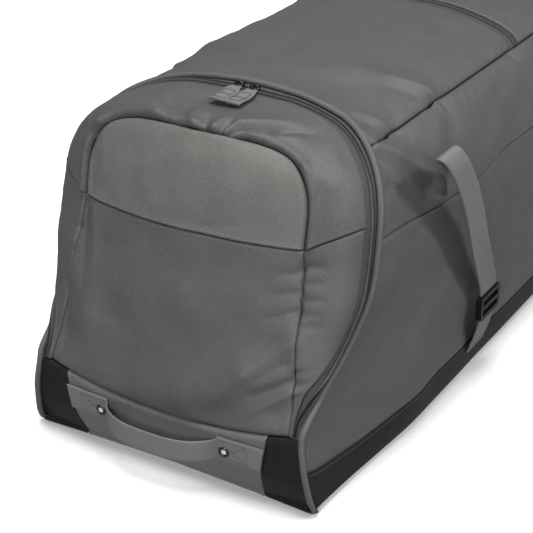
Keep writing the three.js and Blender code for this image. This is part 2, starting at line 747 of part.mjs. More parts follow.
function buildDoor() {
  const pocket = (u, v) => {
    const x = POCKET_HALF_WIDTH * Math.sin((Math.PI / 2) * Math.max(-1, Math.min(u, 1)));
    return doorAt(x, mix(crossSeamZ(x), pocketTopZ(x), v));
  };
  pocket.normalAt = faceNormal;
  const pocketColumns = spread(-1, 1, POCKET_COLUMNS);
  const pocketSheet = sheet(pocket, pocketColumns, spread(0, 1, POCKET_ROWS), -CLOTH, 0);
  addPiece('pocket_panel', pocketSheet, GREY_CLOTH);

  const skirt = (u, v) => {
    const x = u * mix(SKIRT_FOOT_HALF, POCKET_HALF_WIDTH, v);
    const foot = stripSeamZ(u * SKIRT_FOOT_HALF);
    return doorAt(x, mix(foot, crossSeamZ(u * POCKET_HALF_WIDTH), v));
  };
  const skirtSheet = sheet(skirt, spread(-1, 1, 12), spread(0, 1, SKIRT_ROWS), -CLOTH, 0);
  addPiece('door_skirt', skirtSheet, GREY_CLOTH);

  const arch = (u, v) => onDoor(between(pocketOutline(u), tapeEdge(archGirth(u)), v));
  const borderRows = spread(0, 1, BORDER_ROWS);
  addPiece('door_arch', sheet(arch, ARCH_COLUMNS, borderRows, -CLOTH, 0), GREY_CLOTH);

  for (const side of SIDES) {
    const cheek = (u, v) => {
      const x = mix(POCKET_HALF_WIDTH, SKIRT_FOOT_HALF, u);
      const z = mix(crossSeamZ(POCKET_HALF_WIDTH), stripSeamZ(SKIRT_FOOT_HALF), u);
      const outer = tapeEdge(cheekGirth(u));
      return onDoor(between(doorCoords(x, z), outer, v), side.sign);
    };
    const patch = sheet(cheek, spread(0, 1, SKIRT_ROWS), borderRows, -CLOTH, 0);
    addPiece(`door_cheek_${side.name}`, patch, GREY_CLOTH);
  }
}

// The low strip under the door: grey in the middle, black at the corners.
const STRIP_ROWS = 5;
const CORNER_COLUMNS = 6;
const STRIP_CROWDING = 1.5;       // draws the rows together towards the rounded foot

// Upper edge of a black corner: under the skirt, the cheek and the zipper tape, to the piping.
function cornerTop(v) {
  const third = 1 / 3;
  if (v < third) {
    const x = mix(STRIP_HALF_TOP, SKIRT_FOOT_HALF, v / third);
    return { x, z: stripSeamZ(x) };
  }
  if (v < 2 * third) return unfolded(between(SKIRT_FOOT, TAPE_FOOT, v / third - 1));
  const distanceAt = acrossTape(3 - v / third);
  return unfolded(doorLine(distanceAt, lineFoot(distanceAt)));
}

// Side of the grey strip, from 0 at the seam over it to 1 at the piping under it.
function stripSide(x, footX, down) {
  const foot = unfolded(ringEdge(doorCoords(footX, front.z(HALF_GIRTH)).girth));
  const fall = 1 - clamp01(1 - down) ** STRIP_CROWDING;
  return { x: mix(x, foot.x, fall), z: mix(stripSeamZ(x), foot.z, fall) };
}

function buildStrip() {
  const strip = (u, v) => {
    const place = stripSide(u * STRIP_HALF_TOP, u * STRIP_HALF_FOOT, v);
    return doorAt(place.x, place.z);
  };
  const stripRows = spread(0, 1, STRIP_ROWS);
  addPiece('front_strip', sheet(strip, spread(-1, 1, 10), stripRows, -CLOTH, 0), GREY_CLOTH);

  const footGirth = doorCoords(STRIP_HALF_FOOT, front.z(HALF_GIRTH)).girth;
  const cornerFoot = (v) => unfolded(ringEdge(mix(footGirth, girthOf.corner, v)));
  const cornerInner = (u) => stripSide(STRIP_HALF_TOP, STRIP_HALF_FOOT, u);
  const cornerOuter = (u) => unfolded(ringEdge(mix(RING_FOOT.girth, girthOf.corner, u)));
  const patch = coons(cornerTop, cornerFoot, cornerInner, cornerOuter);
  for (const side of SIDES) {
    const corner = (u, v) => {
      const place = patch(u, v);
      return doorAt(side.sign * place.x, place.z);
    };
    const cloth = sheet(corner, stripRows, spread(0, 1, CORNER_COLUMNS), -BASE_CLOTH, 0);
    addPiece(`front_corner_${side.name}`, cloth, BLACK_CLOTH);
  }
}

function buildFrontPiping() {
  const ringLine = (girth) =>
    new THREE.Vector3(front.x(girth), FRONT_Y + front.back(girth), front.z(girth));
  const loop = girthStations(-HALF_GIRTH, HALF_GIRTH, GIRTH_STEP).slice(0, -1);
  addPiece('front_piping', loopCord(ringLine, loop, CORD_SIDES, PIPING_RADIUS), PIPING_CLOTH);
}

// A slider and its cloth pull. The place is a frame on the zipper: along it, across it and up.
function addSlider(name, place) {
  const half = SLIDER_WIDTH / 2;
  const outline = new THREE.Shape();
  outline.moveTo(-SLIDER_LENGTH / 2, -half);
  outline.lineTo(SLIDER_LENGTH / 4, -half);
  outline.quadraticCurveTo(SLIDER_LENGTH / 2, -half, SLIDER_LENGTH / 2, 0);
  outline.quadraticCurveTo(SLIDER_LENGTH / 2, half, SLIDER_LENGTH / 4, half);
  outline.lineTo(-SLIDER_LENGTH / 2, half);
  const options = { depth: SLIDER_HEIGHT, bevelEnabled: false, curveSegments: 4 };
  const mesh = addPiece(name, new THREE.ExtrudeGeometry(outline, options), DARK_METAL);
  const basis = new THREE.Matrix4().makeBasis(place.along, place.across, place.up);
  mesh.quaternion.setFromRotationMatrix(basis);
  mesh.position.copy(place.point);
}

// Frame on a surface at one place, raised along its outward normal.
function frameOn(surface, u, v, lift) {
  const nudge = 0.5;
  const [place] = surfaceGrid(surface, [u - nudge, u + nudge], [v - nudge, v + nudge]);
  const along = place.alongU;
  const up = place.normal;
  const across = up.clone().cross(along).normalize();
  along.copy(across).cross(up);
  const point = surface(u, v).addScaledVector(up, lift);
  return { point, along, across, up };
}

function addPull(name, surface, middleU, fromV, toV) {
  const across = spread(middleU - PULL_WIDTH / 2, middleU + PULL_WIDTH / 2, 2);
  const lift = CLOTH + REST_GAP;
  const tab = sheet(surface, across, spread(fromV, toV, 6), lift, lift + PULL_THICKNESS, 0);
  addPiece(name, tab, PULL_CLOTH);
}

function buildDoorZipper() {
  const run = tapeStations();
  const tape = sheet(zipperBand(acrossTape), run, spread(0, 1, 3), -CLOTH, 0);
  addPiece('door_zipper_tape', tape, ZIPPER_TAPE);
  const coilTop = CURVED_GAP + COIL_HEIGHT;
  const coil = sheet(zipperBand(acrossCoil), run, [0, 1], CURVED_GAP, coilTop, SEAM_GAP);
  addPiece('door_zipper_coil', coil, ZIPPER_TEETH);
  const alongDoor = (girth, distance) => doorPoint(girth, turnAtDistance(girth, distance));
  const coilMiddle = COIL_START + COIL_WIDTH / 2;
  const pullStart = coilMiddle + SLIDER_WIDTH / 2 + REST_GAP;
  for (const side of SIDES) {
    const girth = SLIDER_MIDDLE + side.sign * SLIDER_OFFSET;
    const place = frameOn(alongDoor, girth, coilMiddle, coilTop + REST_GAP);
    addSlider(`zip_slider_${side.name}`, place);
    addPull(`zip_pull_${side.name}`, alongDoor, girth, pullStart, pullStart + PULL_LENGTH);
  }
}

function buildLidZipper() {
  const run = girthStations(-girthOf.shoulder, girthOf.shoulder, GIRTH_STEP);
  const start = LID_ZIP_BACK - LID_TAPE_HALF;
  const end = LID_ZIP_BACK + LID_TAPE_HALF;
  addPiece('lid_zipper_tape', sheet(bodyPoint, run, [start, LID_ZIP_BACK, end], -CLOTH, 0), ZIPPER_TAPE);
  const teeth = [LID_ZIP_BACK - LID_COIL_HALF, LID_ZIP_BACK + LID_COIL_HALF];
  const coilTop = REST_GAP + COIL_HEIGHT;
  addPiece('lid_zipper_coil', sheet(bodyPoint, run, teeth, REST_GAP, coilTop, SEAM_GAP), ZIPPER_TEETH);
  const pullStart = LID_ZIP_BACK + SLIDER_WIDTH / 2 + REST_GAP;
  for (const side of SIDES) {
    const girth = SLIDER_MIDDLE + side.sign * SLIDER_OFFSET;
    const place = frameOn(bodyPoint, girth, LID_ZIP_BACK, coilTop + REST_GAP);
    addSlider(`lid_slider_${side.name}`, place);
    addPull(`lid_pull_${side.name}`, bodyPoint, girth, pullStart, pullStart + PULL_LENGTH);
  }
}

// Webbing handle: flat ends sewn on the strip, and a grip that arches off it.
function buildGrabHandle() {
  const gripBack = HANDLE_TIP_BACK + WEBBING + CURVED_GAP;
  const arch = (x) => {
    const inside = Math.max(0, 1 - (Math.abs(x) / HANDLE_GRIP_HALF) ** HANDLE_TURN);
    return inside ** HANDLE_ARCH;
  };
  const surface = (x, z) => {
    const point = doorAt(x, z);
    return point.setY(mix(point.y, FRONT_Y + gripBack, arch(x)));
  };
  const grip = [0, 0.25, 0.5, 0.7, 0.85, 0.93, 0.98, 1].map((share) => share * HANDLE_GRIP_HALF);
  const half = [...grip, ...spread(RIVET_X, HANDLE_HALF, 3)];
  const stations = [...half.slice(1).reverse().map((x) => -x), ...half];
  const width = [HANDLE_Z - HANDLE_WIDTH / 2, HANDLE_Z + HANDLE_WIDTH / 2];
  const webbing = sheet(surface, stations, width, CURVED_GAP, CURVED_GAP + WEBBING, 0);
  addPiece('grab_handle', webbing, GREY_WEBBING);

  const profile = [
    [0, 0],
    [RIVET_RADIUS, 0],
    [RIVET_RADIUS, RIVET_HEIGHT / 2],
    [RIVET_RADIUS * 0.7, RIVET_HEIGHT],
    [0, RIVET_HEIGHT],
  ].map(([radius, height]) => new THREE.Vector2(radius, height));
  for (const side of SIDES) {
    const place = frameOn(doorAt, side.sign * RIVET_X, RIVET_Z, CURVED_GAP + WEBBING + SMALL_GAP);
    const rivet = addPiece(`handle_rivet_${side.name}`, new THREE.LatheGeometry(profile, 12), DARK_METAL);
    rivet.quaternion.setFromUnitVectors(new THREE.Vector3(0, 1, 0), place.up);
    rivet.position.copy(place.point);
  }
}

// A flat webbing ribbon along a smooth path, its width held close to the bag's length. Both ends
// are cut level.
function ribbon(path, width, steps) {
  const curve = new THREE.CatmullRomCurve3(path, false, 'centripetal');
  const lengthwise = new THREE.Vector3(0, 1, 0);
  const cutLength = 0.12;
  const surface = (t, across) => {
    const place = clamp01(t);
    const tangent = curve.getTangentAt(place);
    const square = smooth(place / cutLength) * smooth((1 - place) / cutLength);
    const slant = -lengthwise.dot(tangent) * square;
    const sideways = lengthwise.clone().addScaledVector(tangent, slant);
    return curve.getPointAt(place).addScaledVector(sideways.normalize(), across);
  };
  const edges = [-width / 2, width / 2];
  return sheet(surface, spread(0, 1, steps), edges, -WEBBING / 2, WEBBING / 2, 0);
}

// Turns an outline drawn in XY so that its X runs back, its Y runs up and its depth runs across.
const SIDE_VIEW = new THREE.Matrix4().makeBasis(
  new THREE.Vector3(0, 1, 0),
  new THREE.Vector3(0, 0, 1),
  new THREE.Vector3(1, 0, 0),
);

function onSide(side, place) {
  return new THREE.Vector3(side.sign * place.x, FRONT_Y + place.back, place.z);
}

// Haul straps: a loop of webbing from the side seam to a buckle, and the short tail that holds it.
function buildStraps() {
  const { width, height, depth, frame, radius } = BUCKLE;
  const outline = new THREE.Shape();
  outline.moveTo(-width / 2 + radius, -height / 2);
  outline.lineTo(width / 2 - radius, -height / 2);
  outline.absarc(width / 2 - radius, radius - height / 2, radius, -Math.PI / 2, 0);
  outline.absarc(width / 2 - radius, height / 2 - radius, radius, 0, Math.PI / 2);
  outline.absarc(radius - width / 2, height / 2 - radius, radius, Math.PI / 2, Math.PI);
  outline.absarc(radius - width / 2, radius - height / 2, radius, Math.PI, 1.5 * Math.PI);
  const slotHalf = width / 2 - frame;
  for (const [low, high] of [[-height / 2 + frame, -frame / 2], [frame / 2, height / 2 - frame]]) {
    const slot = new THREE.Path();
    slot.moveTo(-slotHalf, low);
    slot.lineTo(-slotHalf, high);
    slot.lineTo(slotHalf, high);
    slot.lineTo(slotHalf, low);
    outline.holes.push(slot);
  }
  const options = { depth, bevelEnabled: false, curveSegments: 3 };
  for (const side of SIDES) {
    const path = STRAP_PATHS[side.name].map((place) => onSide(side, place));
    addPiece(`haul_strap_${side.name}`, ribbon(path, STRAP_WIDTH, 28), GREY_WEBBING);

    const buckleGeometry = new THREE.ExtrudeGeometry(outline, options).translate(0, 0, -depth / 2);
    const buckle = addPiece(`strap_buckle_${side.name}`, buckleGeometry, BLACK_PLASTIC);
    buckle.quaternion.setFromRotationMatrix(SIDE_VIEW);
    buckle.position.copy(onSide(side, BUCKLE_CENTRE));

    const head = { ...BUCKLE_CENTRE, z: BUCKLE_CENTRE.z - height / 2 - REST_GAP };
    const tailPath = [head, ANCHOR_BEND, ANCHOR_FOOT].map((place) => onSide(side, place));
    addPiece(`strap_anchor_${side.name}`, ribbon(tailPath, STRAP_WIDTH, 6), GREY_WEBBING);
  }
}

// Wheels: an arched housing let into the rear corner, with an axle that carries hub and tyre.
const WHEEL_CENTRE = { back: WHEEL_TAIL_BACK - WHEEL_RADIUS, z: WHEEL_RADIUS + WHEEL_FLOOR_GAP };

// Side outline of the arch around the wheel, extruded across the bag and centred on the wheel.
function wheelArch(radius, rearBack, lowZ, width) {
  const { back, z } = WHEEL_CENTRE;
  const outline = new THREE.Shape();
  outline.moveTo(back - radius, lowZ);
  outline.lineTo(rearBack, lowZ);
  outline.lineTo(rearBack, z + radius);
  outline.lineTo(back, z + radius);
  outline.absarc(back, z, radius, Math.PI / 2, Math.PI);
  const options = { depth: width, bevelEnabled: false, curveSegments: 7 };
  const geometry = new THREE.ExtrudeGeometry(outline, options).translate(0, 0, -width / 2);
  return geometry.applyMatrix4(SIDE_VIEW).translate(0, FRONT_Y, 0);
}

const INNER_RADIUS = WHEEL_RADIUS + HOUSING_GAP;
const OUTER_RADIUS = INNER_RADIUS + HOUSING_WALL;
const INNER_WIDTH = WHEEL_WIDTH + 2 * HOUSING_GAP;
const OUTER_WIDTH = INNER_WIDTH + 2 * HOUSING_WALL;
const CUT_EXTRA = 60;             // how far a cut runs past what it cuts
const WHEEL_SEGMENTS = 18;

function housingCut(side) {
  const cut = wheelArch(
    OUTER_RADIUS + REST_GAP,
    BODY_LENGTH + CUT_EXTRA,
    -CUT_EXTRA,
    OUTER_WIDTH + 2 * REST_GAP,
  );
  return toSolid(cut.translate(side.sign * WHEEL_X, 0, 0));
}

function roundAlongX(profile, segments) {
  const points = profile.map(([radius, along]) => new THREE.Vector2(radius, along));
  return new THREE.LatheGeometry(points, segments).rotateZ(-Math.PI / 2);
}

function buildWheels() {
  const shell = wheelArch(OUTER_RADIUS, BODY_LENGTH + HOUSING_LIP, WHEEL_FLOOR_GAP, OUTER_WIDTH);
  const hollow = wheelArch(INNER_RADIUS, BODY_LENGTH + CUT_EXTRA, -CUT_EXTRA, INNER_WIDTH);
  const centre = new THREE.Vector3(0, FRONT_Y + WHEEL_CENTRE.back, WHEEL_CENTRE.z);
  const axleHalf = OUTER_WIDTH / 2 - HOUSING_WALL / 2;
  const axleGeometry = roundAlongX(
    [[0, -axleHalf], [AXLE_RADIUS, -axleHalf], [AXLE_RADIUS, axleHalf], [0, axleHalf]],
    16,
  ).translate(centre.x, centre.y, centre.z);
  const housing = toGeometry(toSolid(shell).subtract(toSolid(hollow)).add(toSolid(axleGeometry)));

  const half = WHEEL_WIDTH / 2;
  const bore = AXLE_RADIUS + AXLE_CLEARANCE;
  const rimRadius = WHEEL_RADIUS - TYRE_THICKNESS;
  const hubRadius = rimRadius - SMALL_GAP;
  const hubProfile = [
    [bore, -half],
    [hubRadius, -half],
    [hubRadius, half],
    [bore, half],
    [bore, -half],
  ];
  const shoulder = 4;
  const tyreProfile = [
    [rimRadius, -half],
    [WHEEL_RADIUS - shoulder, -half],
    [WHEEL_RADIUS, shoulder - half],
    [WHEEL_RADIUS, half - shoulder],
    [WHEEL_RADIUS - shoulder, half],
    [rimRadius, half],
    [rimRadius, -half],
  ];
  for (const side of SIDES) {
    const x = side.sign * WHEEL_X;
    addPiece(`wheel_housing_${side.name}`, housing, BLACK_PLASTIC).position.setX(x);
    const hub = addPiece(`wheel_hub_${side.name}`, roundAlongX(hubProfile, WHEEL_SEGMENTS), BLACK_PLASTIC);
    hub.position.set(x, centre.y, centre.z);
    const tyre = addPiece(`wheel_tyre_${side.name}`, roundAlongX(tyreProfile, WHEEL_SEGMENTS), TYRE_RUBBER);
    tyre.position.set(x, centre.y, centre.z);
  }
}

const housings = SIDES.map(housingCut);
buildBody();
buildBase(housings);
buildRear(housings);
buildDoor();
buildStrip();
buildFrontPiping();
buildDoorZipper();
buildLidZipper();
buildGrabHandle();
buildStraps();
buildWheels();

export default bag;
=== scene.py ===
# The looks of a rolling gear bag: sewn cloth panels with folds and seams, zippers, webbing and wheels
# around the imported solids. Tables and sizes are in millimetres; meshes are made in metres.

import math

import bmesh
import bpy
import numpy as np
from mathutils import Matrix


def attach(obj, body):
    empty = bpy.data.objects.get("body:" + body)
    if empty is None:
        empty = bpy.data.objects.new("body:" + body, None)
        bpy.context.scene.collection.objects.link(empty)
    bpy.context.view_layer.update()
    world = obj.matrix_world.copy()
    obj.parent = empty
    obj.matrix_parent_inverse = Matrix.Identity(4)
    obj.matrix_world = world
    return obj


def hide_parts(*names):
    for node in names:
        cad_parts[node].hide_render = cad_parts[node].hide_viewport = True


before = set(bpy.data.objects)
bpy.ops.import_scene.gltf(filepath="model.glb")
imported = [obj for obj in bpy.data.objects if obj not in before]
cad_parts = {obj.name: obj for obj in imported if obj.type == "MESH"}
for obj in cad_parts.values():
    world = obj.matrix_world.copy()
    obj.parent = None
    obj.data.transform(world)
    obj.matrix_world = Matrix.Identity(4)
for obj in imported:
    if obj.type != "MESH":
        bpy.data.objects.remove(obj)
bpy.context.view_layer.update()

BODY = "bag"
SIDES = (("right", 1), ("left", -1))
MM = 0.001

# Driving dimensions, as in the part. "Back" runs along +Y from the front edge of the base.
BODY_LENGTH = 840
HANDLE_TIP_BACK = -46
WHEEL_TAIL_BACK = 856
FRONT_Y = -(WHEEL_TAIL_BACK + HANDLE_TIP_BACK) / 2
CORE_Z = 200
HEART = np.array([0, FRONT_Y + BODY_LENGTH / 2, CORE_Z])
FRONT_BLEND = 260
TAIL_BLEND = 170
CLOTH = 2
WEBBING = 2.2
CURVED_GAP = 0.9
REST_GAP = 0.6
PIPING_RADIUS = 3
PIPING_MARGIN = 5.2
PIPING_FULLNESS = 3.8  # radius that the piping swells to above the floor
PANEL_TUCK = 1.6  # how far under the piping a panel's edge is sewn in
REAR_EDGE = BODY_LENGTH - PANEL_TUCK

DOOR_ROUNDNESS = 6
TAPE_WIDTH = 34
TAPE_FOOT_WIDTH = 14
TAPE_SHOWN_TOP = 0.74  # share of the tape that the door's cloth leaves uncovered
TAPE_SHOWN_SIDE = 0.97
TAPE_TURN = 90  # girth where that share starts to change, and over how much
TAPE_TURN_LENGTH = 100
COIL_START = 15.5
COIL_FOOT_START = 7
COIL_WIDTH = 6
COIL_HEIGHT = 1.8
POCKET_HALF_WIDTH = 150
POCKET_TOP = 416
POCKET_SIDE_TOP = 325
POCKET_ROUNDNESS = 3.2
SEAM_MID_Z = 304
SEAM_RISE = 2
SEAM_LIFT = 0.4
SEAM_END_DROP = 11
STRIP_MID_Z = 87
STRIP_RISE = 22
STRIP_REACH = 186
SKIRT_FOOT_HALF = 168
STRIP_HALF_TOP = 143
STRIP_HALF_FOOT = 130

HANDLE_HALF = 141
HANDLE_GRIP_HALF = 77
HANDLE_Z = 66
HANDLE_TURN = 3
HANDLE_ARCH = 0.8
RIVET_X = 88
RIVET_Z = 63

LID_ZIP_BACK = 589
LID_TAPE_HALF = 14
SLIDER_MIDDLE = 8
SLIDER_OFFSET = 10.5
PULL_WIDTH = 20
PULL_LENGTH = 46
PULL_THICKNESS = 2.4
STRAP_WIDTH = 48
BUCKLE_CENTRE = (234, 402, 110)
BUCKLE_HEIGHT = 34
ANCHOR_BEND = (227, 405, 66)
ANCHOR_FOOT = (216.8, 408, 36)
WHEEL_X = 155
HOUSING_HALF = 23.6
HOUSING_CUT_BACK = 771.4
HOUSING_CUT_TOP = 85.4
REAR_BULGE = 9

# Half the girth, top middle to base middle: line, front x z back, middle x z, tail x z
GIRTH = [
    ("top_mid", 0, 436, 190, 0, 440, 0, 424),
    ("crown", 62, 432, 190, 62, 437, 62, 421),
    ("crown_edge", 122, 418, 188, 122, 425, 120, 410),
    ("shoulder", 170, 394, 166, 176, 400, 168, 386),
    ("upper", 197, 356, 144, 203, 352, 194, 344),
    ("seam", 205.2, 320, 132, 218, 299, 209, 296),
    ("bulge", 208, 255.5, 115, 223, 250, 214, 248),
    ("mid_side", 198, 194, 86, 222, 198, 213, 196),
    ("low_side", 188, 141, 30, 220, 142, 212, 142),
    ("waist", 185.5, 107, -4, 218, 88, 210, 90),
    ("band", 190.5, 66, -8, 215, 29, 207, 36),
    ("corner_top", 195.5, 26, -2, 213, 12, 204, 20),
    ("corner", 198, 9, 5, 208.5, 3.5, 199, 9),
    ("base_edge", 186, 4, 10, 198, 0, 188, 4),
    ("base_mid", 0, 4, 16, 0, 0, 0, 4),
]

# The door's face at its middle: z, back, and how far it falls back at the pocket's sides
FACE = [
    (0, 12, 0),
    (20, 0, 2),
    (50, -12, 4),
    (95, -14, 5),
    (150, -3, 13),
    (200, 10, 14),
    (306, 40, 14),
    (370, 48, 14),
    (436, 54, 14),
]

# Folds of the body: from girth, from back, to girth, to back, height, width
BODY_FOLDS = [
    (182, 160, 182, 840, -4, 13),
    (-182, 160, -182, 840, -4, 13),
    (176, 340, 60, 285, 5, 24),
    (150, 250, 20, 225, -3, 30),
    (-176, 350, -70, 300, 5, 24),
    (190, 345, 250, 330, -4, 20),
    (192, 236, 270, 262, -5, 22),
    (205, 180, 280, 250, -4, 18),
    (-192, 250, -270, 280, -5, 22),
    (330, 150, 520, 230, 4, 40),
    (-330, 150, -520, 230, 4, 40),
    (300, 480, 520, 440, -4, 45),
    (-300, 500, -520, 460, -4, 45),
]

# Sharper creases of the same cloth, only for the looks
BODY_CREASES = [
    (181, 340, 118, 312, 4, 9),
    (181, 326, 126, 296, -4.4, 10),
    (181, 233, 136, 214, 3.4, 8),
    (181, 221, 138, 198, -3.6, 9),
    (181, 186, 150, 176, 2.2, 8),
    (185, 344, 206, 356, -2.6, 7),
    (185, 236, 206, 246, -2.4, 6),
    (186, 185, 292, 284, 5, 13),
    (196, 172, 262, 214, -3, 10),
    (240, 176, 300, 236, -3.4, 13),
    (198, 240, 240, 272, 2.2, 9),
    (292, 300, 246, 270, -2.6, 9),
    (292, 330, 246, 356, -2.4, 10),
    (308, 306, 372, 324, -2, 12),
    (306, 336, 356, 360, 1.6, 11),
    (420, 300, 500, 420, 2.4, 22),
    (440, 200, 540, 300, -2.2, 24),
    (360, 380, 480, 500, -2.4, 22),
    (-181, 262, -140, 246, -3, 9),
    (-181, 270, -136, 258, 3, 8),
    (-188, 330, -240, 360, -2.6, 10),
    (-190, 200, -290, 290, 4, 14),
    (-300, 320, -370, 350, -2, 12),
    (-420, 300, -520, 430, 2.4, 24),
    (120, 640, 20, 690, 2.6, 26),
    (-140, 720, -20, 760, -2.6, 26),
    (300, 640, 480, 700, 2.4, 30),
    (-300, 690, -480, 640, 2.4, 30),
    (190, 560, 240, 590, -3, 12),
    (-190, 540, -240, 580, -3, 12),
]

# Folds of the door: from x, from z, to x, to z, height, width
DOOR_FOLDS = [
    (30, 128, 165, 175, 6, 24),
    (60, 106, 160, 128, -4, 16),
    (-150, 240, -118, 150, 4, 20),
    (-40, 340, 40, 350, 4, 60),
    (70, 424, 150, 398, -5, 14),
    (-120, 416, -60, 426, -3, 14),
]

DOOR_CREASES = [
    (153, 288, 172, 290, -3.2, 5),
    (154, 270, 174, 272, -2.4, 4),
    (156, 252, 176, 254, -2.6, 5),
    (157, 236, 176, 238, -2, 4),
    (158, 223, 178, 226, -2.4, 5),
    (162, 174, 180, 178, -2.4, 5),
    (163, 159, 180, 164, -2.6, 5),
    (164, 147, 178, 151, -2, 4),
    (150, 281, 128, 277, -2.8, 6),
    (152, 260, 126, 254, -2.4, 6),
    (154, 240, 120, 226, -2.8, 7),
    (156, 222, 128, 212, 1.6, 7),
    (160, 164, 118, 140, -5, 9),
    (166, 152, 104, 112, 3.4, 9),
    (156, 206, 106, 164, 3.5, 12),
    (106, 164, 52, 106, 3.5, 13),
    (150, 182, 120, 160, -3, 9),
    (-146, 298, -134, 205, -3.6, 9),
    (-130, 292, -118, 212, 2.6, 10),
    (-158, 250, -146, 160, 2, 8),
    (-164, 196, -150, 120, -2.4, 8),
    (-150, 268, -166, 262, -2.4, 5),
    (-153, 240, -170, 236, -2, 5),
    (-146, 384, -138, 316, -3.6, 9),
    (-126, 380, -118, 330, 1.6, 10),
    (30, 312, 130, 336, -2.6, 26),
    (20, 240, 120, 262, 1.6, 30),
    (-90, 180, 10, 150, -1.6, 34),
]

# Sag of the cloth between the pocket and the zipper, and the height over which it sets in
SAG_DEPTH = 8
SAG_X = 10
SAG_WIDTH = 64
SAG_FRONT = 72
SAG_REAR = 186
SAG_FOOT_Z = 395
SAG_FADE = 20

# Tucks of the cloth over the pocket: from girth and millimetres off the pocket's edge, to the same,
# height, width
ARCH_CREASES = [
    (46, 4, 84, 24, -5, 8),
    (84, 24, 118, 48, -3.5, 9),
    (52, 20, 88, 42, 3.2, 9),
    (70, 4, 112, 22, 2.4, 8),
    (41, 2, 45, 20, 3, 5),
    (34, 1, 36, 18, -3.6, 5),
    (27, 1, 24, 20, 2.8, 6),
    (15, 1, 6, 22, -3, 7),
    (0, 2, -20, 26, 2, 9),
    (-30, 30, -100, 46, -3.5, 18),
    (-60, 12, -130, 20, 2.5, 12),
    (150, 6, 190, 30, 2.4, 14),
    (-150, 6, -200, 40, 2.4, 14),
]
CREASE_GAIN = 1.3  # how much higher than tabled the creases are drawn
ARCH_GAIN = 2.6
CREST_RADIUS = 2.0  # how round the crest of a crease is
CREASE_FOOT = 0.8  # how wide its foot is, and how much it fades along its line
CREASE_FADE = 0.55
CRINKLE = 0.6  # fine creases, as a share of a panel's waves
CRINKLE_WAVE = 62
CRINKLE_PATCH = 260
CRINKLE_ROUND = 0.02

# Haul straps, side seam to buckle: x, back, z
STRAP_PATHS = {
    "right": [
        (217.6, 309, 304),
        (225, 287, 330),
        (231, 255, 360),
        (236, 229, 380),
        (244, 225, 382),
        (250, 236, 368),
        (251, 270, 325),
        (248, 308, 268),
        (243, 340, 212),
        (237, 374, 164),
        (234, 400, 127.8),
    ],
    "left": [
        (217.6, 309, 304),
        (226, 338, 326),
        (226, 396, 350),
        (219, 459, 368),
        (224, 481, 373),
        (237, 481, 360),
        (249, 462, 324),
        (252.5, 440, 276),
        (247, 424, 224),
        (239, 412, 172),
        (234, 402, 127.8),
    ],
}

# Upper edge of the black band along the side: back, z
BAND_LINE = [(-8, 64), (20, 55), (60, 50), (115, 47), (180, 49), (245, 52), (320, 51), (476, 48), (840, 46)]
SEAM_DROP = 16  # how far the side seam dips towards the front
SEAM_DROP_BACK = 230
SEAM_DROP_LENGTH = 280


# Numbers and curves
def mix(a, b, t):
    return a + (b - a) * t


def smooth(t):
    c = np.clip(t, 0, 1)
    return c * c * (3 - 2 * c)


def bell(t):
    return np.exp(-(t**2))


def unit(vectors):
    length = np.linalg.norm(vectors, axis=-1, keepdims=True)
    return vectors / np.maximum(length, 1e-12)


def shares(rows, columns, low=0):
    """Places on a grid: a column from 0 to 1 down it, and a row from low to 1 across it."""
    return np.linspace(0, 1, rows)[:, None], np.linspace(low, 1, columns)[None, :]


def column(knots, values):
    """A smooth curve through a table column that never overshoots it."""
    knots = np.array(knots, float)
    values = np.array(values, float)
    slopes = np.diff(values) / np.diff(knots)
    before = np.r_[slopes[:1], slopes]
    after = np.r_[slopes, slopes[-1:]]
    same = before * after > 0
    tangents = np.where(same, 2 * before * after / np.where(same, before + after, 1), 0)

    def curve(s):
        s = np.asarray(s, float)
        i = np.clip(np.searchsorted(knots, s) - 1, 0, len(knots) - 2)
        span = knots[i + 1] - knots[i]
        t = np.clip((s - knots[i]) / span, 0, 1)
        bend = t * (1 - t) ** 2 * tangents[i] + t * t * (t - 1) * tangents[i + 1]
        return mix(values[i], values[i + 1], smooth(t)) + span * bend

    return curve


def last_place(low, high, holds, steps):
    """How far from low to high a test holds, by halving."""
    for _ in range(steps):
        middle = (low + high) / 2
        yes = holds(middle)
        low, high = np.where(yes, middle, low), np.where(yes, high, middle)
    return low


def map_lines(table, a, b):
    """For each line of a map: its height, width, the share along it and the gap to it at each place."""
    for from_a, from_b, to_a, to_b, height, width in table:
        run_a, run_b = to_a - from_a, to_b - from_b
        along = ((a - from_a) * run_a + (b - from_b) * run_b) / (run_a**2 + run_b**2)
        t = np.clip(along, 0, 1)
        yield height, width, t, np.hypot(a - from_a - t * run_a, b - from_b - t * run_b)


def fold_height(folds, a, b):
    """Height of soft ridges and valleys along lines of a map."""
    return sum(height * bell(gap / width) for height, width, _, gap in map_lines(folds, a, b))


def crease_height(creases, a, b):
    """Height of crisp creases along lines of a map: each has a narrow crest and a wide foot."""
    total = 0
    for height, width, t, gap in map_lines(creases, a, b):
        crest = np.hypot(gap, CREST_RADIUS) - CREST_RADIUS
        total = total + height * (1 - CREASE_FADE * t) * np.exp(-crest / (CREASE_FOOT * width))
    return total


def ripple(s, wavelength, seed):
    """Smooth uneven waves along a line, from about -1 to 1."""
    draw = np.random.default_rng(seed)
    waves = zip(draw.uniform(0.55, 1.7, 6), draw.uniform(0, 2 * np.pi, 6))
    return sum(np.sin(2 * np.pi * rate * s / wavelength + phase) for rate, phase in waves) / 3


def undulation(a, b, wavelength, seed):
    """The same over a map."""
    draw = np.random.default_rng(seed)
    total = 0
    for _ in range(9):
        angle, phase = draw.uniform(0, 2 * np.pi, 2)
        rate = 2 * np.pi * draw.uniform(0.6, 1.8) / wavelength
        total = total + np.sin(rate * (a * math.cos(angle) + b * math.sin(angle)) + phase)
    return total / 4


